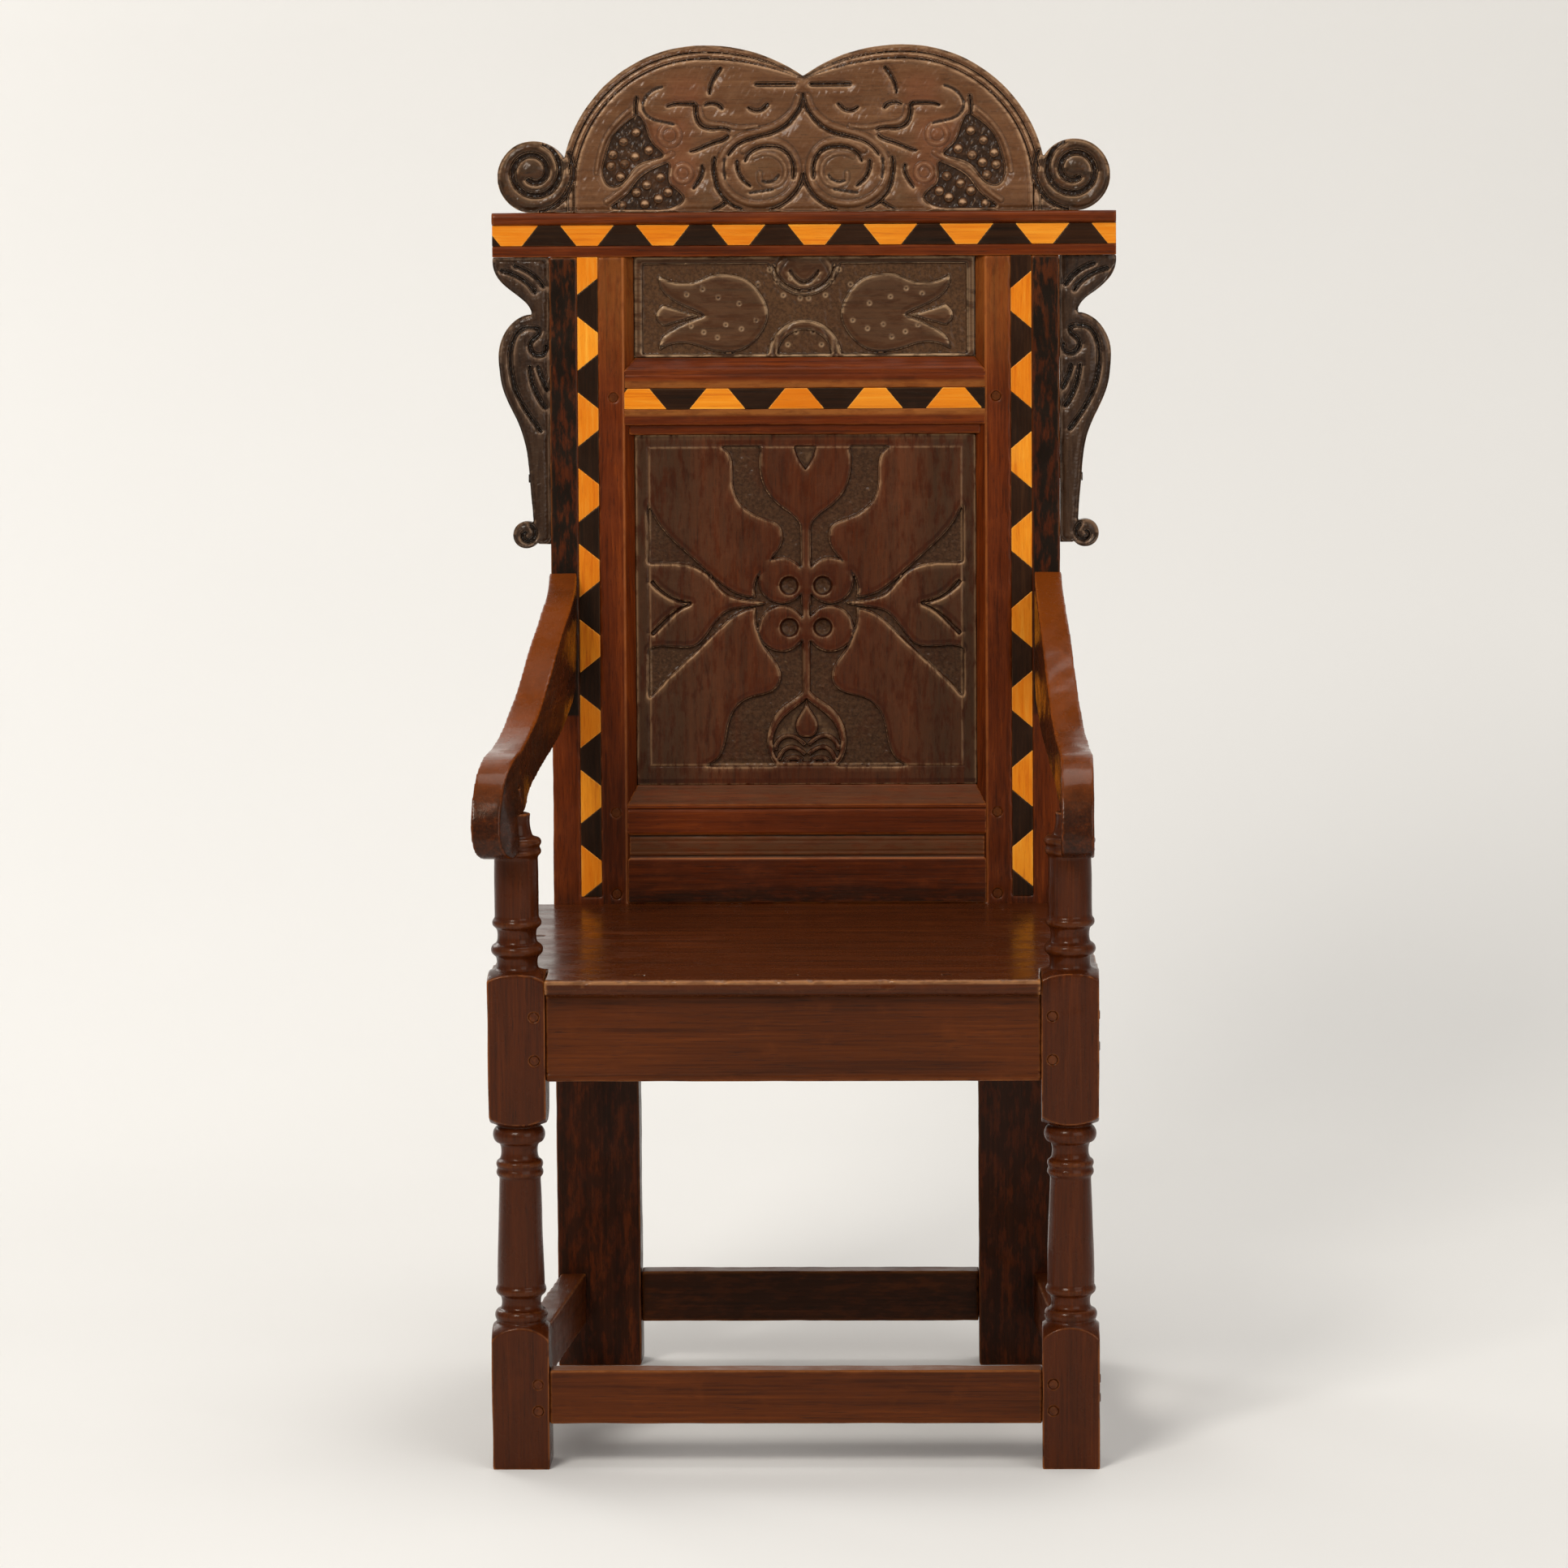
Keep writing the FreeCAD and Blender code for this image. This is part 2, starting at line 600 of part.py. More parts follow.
def front_leg():
    """The right front leg and arm post: a square bar met by its turned profile."""
    wide = corner_share * half_square
    neck = post_turning_shares[-1][1] * half_square
    tenon_top = arm_base + post_tenon_length
    edges = [line((0, 0, 0), (wide, 0, 0)), line((wide, 0, 0), (wide, 0, foot_block_height))]
    edges += turned(foot_block_height, upper_block_low, corner_share, lower_turning_shares)
    edges.append(line((wide, 0, upper_block_low), (wide, 0, upper_block_high)))
    edges += turned(upper_block_high, arm_base, corner_share, post_turning_shares)
    edges += [
        line((neck, 0, arm_base), (post_tenon_radius, 0, arm_base)),
        line((post_tenon_radius, 0, arm_base), (post_tenon_radius, 0, tenon_top)),
        line((post_tenon_radius, 0, tenon_top), (0, 0, tenon_top)),
        line((0, 0, tenon_top), (0, 0, 0)),
    ]
    spun = Part.Face(Part.Wire(edges)).revolve(Vector(0, 0, 0), Vector(0, 0, 1), 360)
    bar = box(-half_square, half_square, -half_square, half_square, 0, tenon_top)
    leg = bar.common(spun)
    leg.translate(Vector(leg_x, leg_y, 0))
    return cut_all(leg, [rail_front_mortise, stretcher_front_mortise, rail_side_mortise,
                         stretcher_side_mortise] + front_holes + side_holes)


# Arms

def arm_blank(name):
    """The right-hand arm: its side outline and its plan, sawn from one plank."""
    front = leg_front - arm_overhang
    stile_y = back_front + rake_share * (arm_top_at_stile - seat_height)
    length = stile_y - front
    rise = arm_top_at_stile - arm_base

    def spot(shares):
        return (0, front + shares[0] * length, arm_base + shares[1] * rise)

    roll_z = arm_base - arm_roll_drop
    roll_back = front + 2 * arm_roll_radius
    flat_front = roll_back + arm_notch_radius
    flat_back = flat_front + arm_flat_length
    bend = arm_notch_radius * math.sqrt(0.5)
    notch_z = arm_base - arm_notch_radius
    top = [(0, front, roll_z)] + [spot(shares) for shares in arm_top_shares]
    under = [(0, flat_back, arm_base)] + [spot(shares) for shares in arm_under_shares]
    side = plate([
        curve(top),
        line(top[-1], under[-1]),
        curve(under),
        line((0, flat_back, arm_base), (0, flat_front, arm_base)),
        arc((0, flat_front, arm_base), (0, flat_front - bend, notch_z + bend),
            (0, roll_back, notch_z)),
        line((0, roll_back, notch_z), (0, roll_back, roll_z)),
        arc((0, roll_back, roll_z), (0, front + arm_roll_radius, roll_z - arm_roll_radius),
            (0, front, roll_z)),
    ], Vector(front_span, 0, 0))

    return side.common(arm_plan(name, front - overrun, top[-1][1]))


def arm_plan(name, near_y, far_y):
    """The solid between the right-hand arm's two sawn faces, ruled from below to above."""
    back_x = stile_outer - arm_width_back / 2 + arm_back_out[name]
    post_x = leg_x + arm_post_out[name]
    near_bow, far_bow = arm_bow_shares[name]
    centres = (leg_x + arm_front_out[name], post_x, back_x + near_bow * (post_x - back_x),
               back_x + far_bow * (post_x - back_x), back_x)
    levels = (arm_base - 3 * arm_roll_radius, arm_top_at_stile + arm_roll_radius)
    lines = []
    for z in levels:
        inner, outer = [], []
        for x, along, cant, width_share in zip(
                centres, arm_station_shares, arm_cant_shares[name], arm_width_shares[name]):
            y = near_y + along * (far_y - near_y)
            half = width_share * (arm_width_front + along * (arm_width_back - arm_width_front)) / 2
            middle = x + cant * (z - arm_base)
            inner.append((middle - half, y, z))
            outer.append((middle + half, y, z))
        lines.append((inner, outer))
    faces = [Part.makeRuledSurface(curve(lines[0][index]), curve(lines[1][index])) for index in (0, 1)]
    for inner, outer in lines:
        faces.append(Part.Face(Part.Wire([
            curve(inner), line(inner[-1], outer[-1]), curve(outer), line(outer[0], inner[0])])))
    for end in (0, -1):
        corners = [lines[0][0][end], lines[0][1][end], lines[1][1][end], lines[1][0][end]]
        faces.append(Part.Face(Part.makePolygon([Vector(*corner) for corner in corners + corners[:1]])))
    shell = Part.makeShell(faces)
    shell.sewShape()
    return Part.makeSolid(shell)


def arm_tenon():
    """The tenon at the back of the right arm, and its mortise, on the upright drawing."""
    x = stile_outer - arm_width_back / 2
    half = arm_tenon_thickness / 2
    low = arm_top_at_stile - seat_height - arm_tenon_low - arm_tenon_height
    high = low + arm_tenon_height
    tenon = upright_box(x - half, x + half, 0, tenon_length, low, high)
    room = half + joint_play
    mortise = upright_box(x - room, x + room, -overrun, tenon_length + mortise_gap,
                          low - joint_play, high + joint_play)
    return lean(tenon), lean(mortise)


def arm_pegs(name):
    """Pegs that pin a right-hand arm: through its side into the post's tenon, and in the stile."""
    z = arm_base + post_tenon_length / 2
    x = leg_x + arm_post_out[name] + arm_width_front / 2 + arm_cant_shares[name][1] * (z - arm_base)
    reach = x - leg_x + post_tenon_radius
    tenon_mid = arm_top_at_stile - seat_height - arm_tenon_low - arm_tenon_height / 2
    stile_reach = (arm_width_back + arm_tenon_thickness) / 2 + peg_setback / 2
    stile_y = back_front + rake_share * tenon_mid + peg_setback
    return [((x, leg_y, z), (-1, 0, 0), reach),
            ((stile_outer, stile_y, seat_height + tenon_mid), (-1, 0, 0), stile_reach)]


arm_tenon_solid, arm_mortise = arm_tenon()
arm_peg_places = {name: arm_pegs(name) for name, _ in sides}
arm_holes = {name: [peg_hole(place, arm_peg_radius) for place in arm_peg_places[name]]
             for name, _ in sides}
behind_stile_front = lean(upright_box(
    0, front_span, 0, stile_depth + back_rise, -seat_height, 2 * back_rise))


def arm(name):
    socket = rod(post_tenon_radius + peg_play, (leg_x, leg_y, arm_base - overrun), (0, 0, 1),
                 post_tenon_length + mortise_gap + overrun)
    blank = arm_blank(name).cut(behind_stile_front)
    solid = joined([blank, arm_tenon_solid])
    return cut_all(solid, [socket] + arm_holes[name])


# Back stiles

def stile():
    """The right stile: one plank, upright to the seat and raked above it, with its seats."""
    sine, cosine = math.sin(rake), math.cos(rake)
    bend_back = seat_height - stile_depth * math.tan(rake / 2)
    top_front = (back_front + back_rise * sine, seat_height + back_rise * cosine)
    top_back = (top_front[0] + stile_depth * cosine, top_front[1] - stile_depth * sine)
    side = [(back_front, 0), (back_front, seat_height), top_front, top_back,
            (back_front + stile_depth, bend_back), (back_front + stile_depth, 0)]
    plank = prism([(stile_inner, y, z) for y, z in side], Vector(stile_width, 0, 0))
    tenon, _ = stile_tenon()
    bevel = prism([(stile_inner - overrun, back_front - overrun, seat_height),
                   (arris, back_front - overrun, seat_height),
                   (arris, back_front, seat_height),
                   (stile_inner, back_front + bevel_depth, seat_height),
                   (stile_inner - overrun, back_front + bevel_depth, seat_height)],
                  Vector(0, 0, back_rise + overrun))
    groove = upright_box(stile_inner - overrun, stile_inner + groove_depth,
                         groove_front, groove_back, bottom_rail_height - groove_depth, back_rise + overrun)
    inlay_x = stile_outer - stile_inlay_inset
    recess = upright_box(inlay_x, inlay_x - stile_inlay_width, -overrun, inlay_depth,
                         stile_inlay_low, back_rise + overrun)
    cuts = [lean(bevel), lean(groove), lean(recess), arm_mortise, rail_back_mortise,
            stretcher_back_mortise, rail_side_mortise, stretcher_side_mortise,
            lean(bottom_tenon[1]), lean(mid_tenon[1])]
    body = cut_all(plank, cuts + side_holes + back_holes + arm_holes["right"][1:] + nail_holes)
    return joined([body, lean(tenon)])


def stile_tenon():
    """The tenon on top of the right stile, and its mortise, on the upright drawing."""
    x = stile_outer - stile_width / 2
    half_width = stile_tenon_width / 2
    y = back_tenon_centre
    half = tenon_thickness / 2
    tenon = upright_box(x - half_width, x + half_width, y - half, y + half,
                        back_rise, back_rise + stile_tenon_length)
    room = half + joint_play
    mortise = upright_box(x - half_width - joint_play, x + half_width + joint_play, y - room, y + room,
                          back_rise - overrun, back_rise + stile_tenon_length + mortise_gap)
    return tenon, mortise


groove_front = panel_setback + tongue_setback - panel_play
groove_back = groove_front + panel_tongue + 2 * panel_play
bottom_tenon = cross_tenon(stile_inner, 1, back_front + back_tenon_centre,
                           seat_height + tenon_shoulder,
                           seat_height + bottom_rail_height - groove_depth - tenon_shoulder, tenon_length)
mid_tenon = cross_tenon(stile_inner, 1, back_front + back_tenon_centre,
                        seat_height + mid_sight_low + groove_depth + tenon_shoulder,
                        seat_height + mid_sight_high - groove_depth - tenon_shoulder, tenon_length)


# Rails of the back

def scribed(profile):
    """A rail of the back from its section (depth, height): its ends fit the stiles' bevels."""
    blank = prism([(-arris, back_front + depth, seat_height + up) for depth, up in profile],
                  Vector(2 * arris, 0, 0))
    ups = [up for _, up in profile]
    return blank.common(between_stiles(min(ups), max(ups)))


def between_stiles(low, high):
    """The space between the stiles' bevelled edges, on the upright drawing."""
    plan = [(-arris, 0), (arris, 0), (stile_inner, bevel_depth), (stile_inner, stile_depth),
            (-stile_inner, stile_depth), (-stile_inner, bevel_depth)]
    return prism([(x, back_front + depth, seat_height + low) for x, depth in plan],
                 Vector(0, 0, high - low))


def panel_groove(low, high):
    """The groove in a rail's edge, between two heights."""
    return upright_box(-stile_inner - overrun, stile_inner + overrun, groove_front, groove_back, low, high)


def bottom_rail():
    top = bottom_rail_height
    profile = [(0, -stile_depth), (0, bottom_band_low), (bottom_band_depth, bottom_band_low),
               (bottom_band_depth, bottom_band_high), (0, bottom_band_high),
               (0, top - bottom_bevel_rise), (bevel_depth, top), (stile_depth, top),
               (stile_depth, -stile_depth)]
    rail = scribed(profile).cut(panel_groove(top - groove_depth, top + overrun))
    rail = lean(joined([rail, bottom_tenon[0], mirrored(bottom_tenon[0])]))
    return rail.cut(box(-front_span, front_span, 0, front_span, 0, seat_height))


def mid_rail():
    profile = [(0, mid_rail_low), (0, mid_rail_high), (bevel_depth, mid_sight_high),
               (stile_depth, mid_sight_high), (stile_depth, mid_sight_low),
               (mid_lip_depth, mid_sight_low), (mid_lip_depth, mid_rail_low)]
    low = mid_rail_low + mid_inlay_low
    recess = upright_box(-arris - overrun, arris + overrun, -overrun, inlay_depth,
                         low, low + mid_inlay_width)
    rail = cut_all(scribed(profile), [
        panel_groove(mid_sight_high - groove_depth, mid_sight_high + overrun),
        panel_groove(mid_sight_low - overrun, mid_sight_low + groove_depth), recess])
    return lean(joined([rail, mid_tenon[0], mirrored(mid_tenon[0])]))


def top_rail():
    """The rail over the stiles, with its cap moulding, end overhangs and inlay recess."""
    half = stile_outer + top_rail_overhang
    low, high = back_rise, back_rise + top_rail_height
    cap_low = high - cap_height
    body = upright_box(-half, half, 0, stile_depth, low, high)
    cap = upright_box(-half, half, -cap_proud, 0, cap_low, high)
    nose = [edge for edge in cap.Edges
            if abs(edge.CenterOfMass.y - (back_front - cap_proud)) < joint_play
            and edge.Length > half]
    cap = cap.makeFillet(cap_round, nose)
    inlay_low = low + top_inlay_low
    recess = upright_box(-half - overrun, half + overrun, -overrun, inlay_depth,
                         inlay_low, inlay_low + top_inlay_width)
    mortise = stile_tenon()[1]
    rail = cut_all(joined([body, cap]), [recess, mortise, mirrored(mortise),
                                         panel_groove(low - overrun, low + groove_depth)] + dowel_holes)
    return lean(rail)


# Relief carving. A field is drawn a little in front of its face, so that cuts pass the face.

def field(half, low, height, setback):
    """Turns shares (across, up) of a carved field into points, on the upright drawing."""
    def point(across, up):
        return (across * half, back_front + setback - overrun, seat_height + low + up * height)
    return point


def outlined(point, runs, depth):
    """The wood inside an outline, down to a depth. Runs of two shares are straight."""
    edges = []
    for run in runs:
        spots = [point(*shares) for shares in run]
        edges.append(line(*spots) if len(spots) == 2 else curve(spots))
    return plate(edges, Vector(0, depth + overrun, 0))


def smooth(point, outline_shares, depth):
    """The wood inside one smooth closed curve, down to a depth."""
    spline = Part.BSplineCurve()
    spline.interpolate([Vector(*point(*shares)) for shares in outline_shares], PeriodicFlag=True)
    return plate([spline.toShape()], Vector(0, depth + overrun, 0))


def disc(point, centre, radius, depth):
    return rod(radius, point(*centre), (0, 1, 0), depth + overrun)


def ribbon(points, start_half, end_half, depth):
    """A strip of wood along the smooth curve through the points, down to a depth."""
    spline = Part.BSplineCurve()
    spline.interpolate([Vector(*point) for point in points])
    steps = 2 * len(points)
    rims = ([], [])
    for step in range(steps + 1):
        share = step / steps
        at = spline.FirstParameter + share * (spline.LastParameter - spline.FirstParameter)
        along = spline.tangent(at)[0]
        across = Vector(along.z, 0, -along.x) * (start_half + share * (end_half - start_half))
        rims[0].append(spline.value(at) + across)
        rims[1].append(spline.value(at) - across)
    return plate([curve(rims[0]), line(rims[0][-1], rims[1][-1]), curve(rims[1]),
                  line(rims[1][0], rims[0][0])], Vector(0, depth + overrun, 0))


def spiral(centre, radii, start_turn, turns):
    """Points of a spiral about a centre. Turns run anticlockwise, negative ones clockwise."""
    x, y, z = centre
    steps = math.ceil(8 * abs(turns))
    points = []
    for step in range(steps + 1):
        share = step / steps
        radius = radii[0] + share * (radii[1] - radii[0])
        angle = 2 * math.pi * (start_turn + share * turns)
        points.append((x + radius * math.cos(angle), y, z + radius * math.sin(angle)))
    return points


def carved(board, ground, islands, cuts):
    """Carve a board whose halves mirror each other: sink its ground round the islands, if any,
    then cut the lines and hollows. Islands and cuts are those of the right half."""
    right = box(0, front_span, back_front - stile_depth, back_front + stile_depth,
                seat_height, seat_height + 2 * back_rise)
    half = cut_all(board.common(right), [cut_all(ground.common(right), islands)])
    half = cut_all(half, cuts)
    return joined([half, mirrored(half)])


# Panels

def panel(low, high):
    """A panel between two sight heights, with its tongue in the grooves all round."""
    half = stile_inner + groove_depth - panel_gap
    tongue_front = panel_setback + tongue_setback
    tongue = upright_box(-half, half, tongue_front, tongue_front + panel_tongue,
                         low - groove_depth + panel_gap, high + groove_depth - panel_gap)
    face = upright_box(-stile_inner + panel_play, stile_inner - panel_play,
                       panel_setback, panel_setback + panel_thickness, low + panel_play, high - panel_play)
    return joined([tongue, face])


def lower_panel():
    """Four tulips and four broad lobes that spring from a knot of whorls, on a sunk ground."""
    half = stile_inner - lower_margin_side
    low = bottom_rail_height + lower_margin_low
    height = mid_sight_low - lower_margin_high - low
    point = field(half, low, height, panel_setback)
    depth = lower_relief
    middle = (whorl_centre_shares[0][1] + whorl_centre_shares[1][1]) / 2
    north = outlined(point, [tulip_north_shares, (tulip_north_shares[-1], (0, middle)),
                             ((0, middle), (0, 1)), ((0, 1), tulip_north_shares[0])], depth)
    high = outlined(point, [lobe_high_inner_shares, lobe_high_outer_shares,
                            (lobe_high_outer_shares[-1], (1, 1)),
                            ((1, 1), lobe_high_inner_shares[0])], depth)
    deep = outlined(point, [lobe_low_outer_shares, lobe_low_inner_shares,
                            (lobe_low_inner_shares[-1], (1, 0)),
                            ((1, 0), lobe_low_outer_shares[0])], depth)
    side = outlined(point, [tulip_side_high_shares,
                            (tulip_side_high_shares[-1], tulip_side_low_shares[-1]),
                            tulip_side_low_shares[::-1]], depth)
    onion = outlined(point, [onion_shares, (onion_shares[-1], (0, 0)), ((0, 0), onion_shares[0])], depth)
    whorls = [disc(point, centre, whorl_radius, depth) for centre in whorl_centre_shares]
    islands = [north, high, deep, side, onion] + whorls
    for half_width, foot, head in ((lower_stem_half_width, middle, tulip_north_shares[-2][1]),
                                   (lower_foot_stem_half_width, onion_shares[1][1], middle)):
        bottom, top = point(0, foot), point(0, head)
        islands.append(box(-half_width, half_width, bottom[1], bottom[1] + depth + overrun,
                           bottom[2], top[2]))
    ball_radius = (eye_radius ** 2 + eye_depth ** 2) / (2 * eye_depth)
    notch = outlined(point, [notch_north_shares, (notch_north_shares[-1], (0, 1)),
                             ((0, 1), notch_north_shares[0])], vein_depth)
    foot = (0, onion_hollow_shares[-1][1])
    hollow = outlined(point, [onion_hollow_shares, (onion_hollow_shares[-1], foot),
                              (foot, onion_hollow_shares[0])], vein_depth)
    raised = [outlined(point, [heart_shares, (heart_shares[-1], heart_shares[0])], vein_depth)]
    for leaf in onion_leaf_shares:
        raised.append(ribbon([point(*shares) for shares in leaf], onion_leaf_half_width,
                             onion_leaf_half_width, vein_depth))
    cuts = [notch, cut_all(hollow, raised)]
    for centre in eye_centre_shares:
        x, y, z = point(*centre)
        cuts.append(Part.makeSphere(ball_radius, Vector(x, y + overrun + eye_depth - ball_radius, z)))
    for vein in lower_vein_shares:
        cuts.append(ribbon([point(*shares) for shares in vein], vein_half_width, vein_end_half_width,
                           vein_depth))
    ground = upright_box(-half, half, panel_setback - overrun, panel_setback + depth, low, low + height)
    return lean(carved(panel(bottom_rail_height, mid_sight_low), ground, islands, cuts))


def upper_panel():
    """Two tulips that lie with their feet to a half ring, under a round pendant."""
    half = stile_inner - upper_margin_side
    low = mid_sight_high + upper_margin_low
    height = back_rise - upper_margin_high - low
    point = field(half, low, height, panel_setback)
    depth = upper_relief
    tulip = outlined(point, [upper_tulip_shares, upper_petal_low_shares, upper_petal_high_shares], depth)
    bud = outlined(point, [(upper_bud_tip_share, upper_bud_end_shares[0]), upper_bud_end_shares,
                           (upper_bud_end_shares[-1], upper_bud_tip_share)], depth)
    ring = disc(point, half_ring_centre_share, half_ring_radius, depth).cut(
        disc(point, half_ring_centre_share, half_ring_radius - half_ring_width, depth))
    pendant = disc(point, pendant_centre_share, pendant_radius, depth)
    rim = disc(point, pendant_centre_share, pendant_radius - pendant_rim_width, vein_depth).cut(
        disc(point, pendant_centre_share, pendant_radius - pendant_rim_width - 2 * vein_half_width,
             vein_depth))
    ground = upright_box(-half, half, panel_setback - overrun, panel_setback + depth, low, low + height)
    chevron = ribbon([point(*shares) for shares in chevron_shares], vein_half_width, vein_half_width,
                     vein_depth)
    cuts = [rim.common(ground), chevron]
    return lean(carved(panel(mid_sight_high, back_rise), ground, [tulip, bud, ring, pendant], cuts))


# Inlay

def trapezoids(start, pitch, low, high, wide_edge, narrow_edge):
    """Pale pieces of a band and the dark ones between, as corner lists (along, across)."""
    pale, dark = [], []
    wide, narrow = wide_share * pitch / 2, (1 - wide_share) * pitch / 2
    first = math.floor((low - start) / pitch)
    last = math.ceil((high - start) / pitch)
    for index in range(first, last + 1):
        centre = start + index * pitch
        between = centre + pitch / 2
        pale.append([(centre - wide, wide_edge), (centre + wide, wide_edge),
                     (centre + narrow, narrow_edge), (centre - narrow, narrow_edge)])
        dark.append([(between - narrow, wide_edge), (between + narrow, wide_edge),
                     (between + wide, narrow_edge), (between - wide, narrow_edge)])
    return pale, dark


def inlay_solids(outlines, low, high, place, limits=None):
    """Thin leaning solids of a band's outlines, trimmed to the band's ends and the limits."""
    solids = []
    for outline in outlines:
        corners = trimmed(outline, low, high)
        alongs = [along for along, _ in corners] or [0]
        if max(alongs) - min(alongs) > inlay_depth:
            solid = prism([place(along, across) for along, across in corners],
                          Vector(0, inlay_depth, 0))
            solids.append(lean(solid.common(limits) if limits else solid))
    return Part.makeCompound(solids)


def trimmed(outline, low, high):
    """The part of a convex outline between two lines across the band."""
    for limit, sign in ((low, 1), (high, -1)):
        kept = []
        for index, (along, across) in enumerate(outline):
            last_along, last_across = outline[index - 1]
            inside, last_inside = sign * (along - limit) >= 0, sign * (last_along - limit) >= 0
            if inside != last_inside:
                cut_share = (limit - last_along) / (along - last_along)
                kept.append((limit, last_across + cut_share * (across - last_across)))
            if inside:
                kept.append((along, across))
        outline = kept
    return outline


def rail_band(name, half, low, width, wide_up):
    """The inlay of a rail of the back, along X."""
    edge_low, edge_high = low + inlay_play, low + width - inlay_play
    wide_edge, narrow_edge = (edge_high, edge_low) if wide_up else (edge_low, edge_high)
    pale, dark = trapezoids(band_start[name], band_pitch[name], -half, half, wide_edge, narrow_edge)

    def place(along, across):
        return (along, back_front, seat_height + across)

    limits = between_stiles(edge_low, edge_high) if half <= arris else None
    return [inlay_solids(outlines, -half, half, place, limits) for outlines in (pale, dark)]


def stile_band(name, side):
    """The inlay of a stile, up the rake, with the pale pieces' wide sides outwards."""
    outer = stile_outer - stile_inlay_inset - inlay_play
    inner = outer - stile_inlay_width + 2 * inlay_play
    low, high = stile_inlay_low + inlay_play, back_rise - inlay_play
    pale, dark = trapezoids(band_start[name], band_pitch[name], low, high, outer, inner)

    def place(along, across):
        return (side * across, back_front, seat_height + along)

    return [inlay_solids(outlines, low, high, place) for outlines in (pale, dark)]


# Cresting

def dowel_places():
    start = crest_low - crest_dowel_length / 2
    depth = crest_setback + crest_thickness / 2
    spread = crest_dowel_share * stile_inner
    return [(x, depth, start) for x in (-spread, 0, spread)]


def dowel(place, play):
    x, depth, up = place
    return rod(crest_dowel_radius + play, (x, back_front + depth, seat_height + up - play), (0, 0, 1),
               crest_dowel_length + 2 * play)


def arches(inset, y, floor, depth):
    """The two-arched shape, drawn in from the board's own outline by an inset."""
    base = seat_height + crest_low
    apex = base + crest_height - inset
    valley = base + arch_valley_height - valley_inset_share * inset
    outer = arch_outer_radius - inset
    outer_z = apex - outer
    drop = apex - valley
    inner = (arch_apex_out ** 2 + drop ** 2) / (2 * drop)
    turn = math.asin(arch_apex_out / inner) / 2
    half_turn = math.sqrt(0.5) * outer
    shoulder = arch_apex_out + outer
    half = plate([
        line((0, y, base + floor), (shoulder, y, base + floor)),
        line((shoulder, y, base + floor), (shoulder, y, outer_z)),
        arc((shoulder, y, outer_z), (arch_apex_out + half_turn, y, outer_z + half_turn),
            (arch_apex_out, y, apex)),
        arc((arch_apex_out, y, apex),
            (arch_apex_out - inner * math.sin(turn), y, apex - inner + inner * math.cos(turn)),
            (0, y, valley)),
        line((0, y, valley), (0, y, base + floor)),
    ], Vector(0, depth, 0))
    return joined([half, mirrored(half)])


def crest():
    """The two-arched board with a round volute at each end, carved with heads, scrolls and pods."""
    y = back_front + crest_setback
    base = seat_height + crest_low
    volute = rod(volute_radius, (volute_out, y, base + volute_radius), (0, 1, 0), crest_thickness)
    foot = box(0, volute_out, y, y + crest_thickness, base, base + crest_foot_height)
    board = joined([arches(0, y, 0, crest_thickness)] + both_sides([volute, foot]))
    front = y - overrun
    clear = rod(volute_radius, (volute_out, front, base + volute_radius), (0, 1, 0), crest_thickness)
    ground = arches(crest_rim_width, front, crest_field_rise, crest_field_sink + overrun)
    cuts = [arches(near, front, 0, crest_rim_groove_depth + overrun).cut(
        [arches(far, front, 0, crest_rim_groove_depth + overrun), clear])
        for near, far in crest_rim_grooves]
    cuts += crest_lines() + [pod(pod_high_shares, bead_high_shares), pod(pod_low_shares, bead_low_shares)]
    return lean(cut_all(carved(board, ground.cut(clear), [], cuts), dowel_holes))


def crest_point(across, up):
    """A point of the cresting's face from its shares."""
    return field(crest_height, crest_low, crest_height, crest_setback)(across, up)


def crest_lines():
    """The right half's deep and fine lines, its slit, and the grooves of its end volute."""
    lines = [ribbon([crest_point(*shares) for shares in row], crest_line_half_width,
                    crest_line_end_half_width, crest_relief) for row in crest_line_shares]
    lines += [ribbon([crest_point(*shares) for shares in row], vein_half_width, vein_half_width,
                     crest_rim_groove_depth) for row in crest_vein_shares]
    slit_start, slit_end = (crest_point(*shares) for shares in crest_slit_shares)
    lines.append(box(slit_start[0], slit_end[0], slit_start[1], slit_start[1] + overrun + crest_relief,
                     slit_start[2] - crest_line_half_width, slit_start[2] + crest_line_half_width))
    eye = (volute_out, slit_start[1], seat_height + crest_low + volute_eye_height)
    whorl = spiral(eye, volute_groove_radii, volute_start_turn, volute_turns)
    lines.append(ribbon(whorl, volute_groove_half_width, volute_groove_half_width, volute_groove_depth))
    edge = spiral(eye, (volute_edge_radius, volute_edge_radius), volute_edge_start_turn,
                  volute_edge_turns)
    lines.append(ribbon(edge, crest_line_half_width, crest_line_half_width, vein_depth))
    return lines


def pod(outline_shares, bead_shares):
    """The hollow of a pod, less the round beads that stand in it."""
    hollow = smooth(crest_point, outline_shares, crest_relief)
    beads = []
    for centre in bead_shares:
        x, y, z = crest_point(*centre)
        beads.append(Part.makeSphere(bead_radius, Vector(x, y + overrun + crest_relief, z)))
    return cut_all(hollow, beads)


dowel_holes = [dowel(place, peg_play) for place in dowel_places()]


# Ear brackets

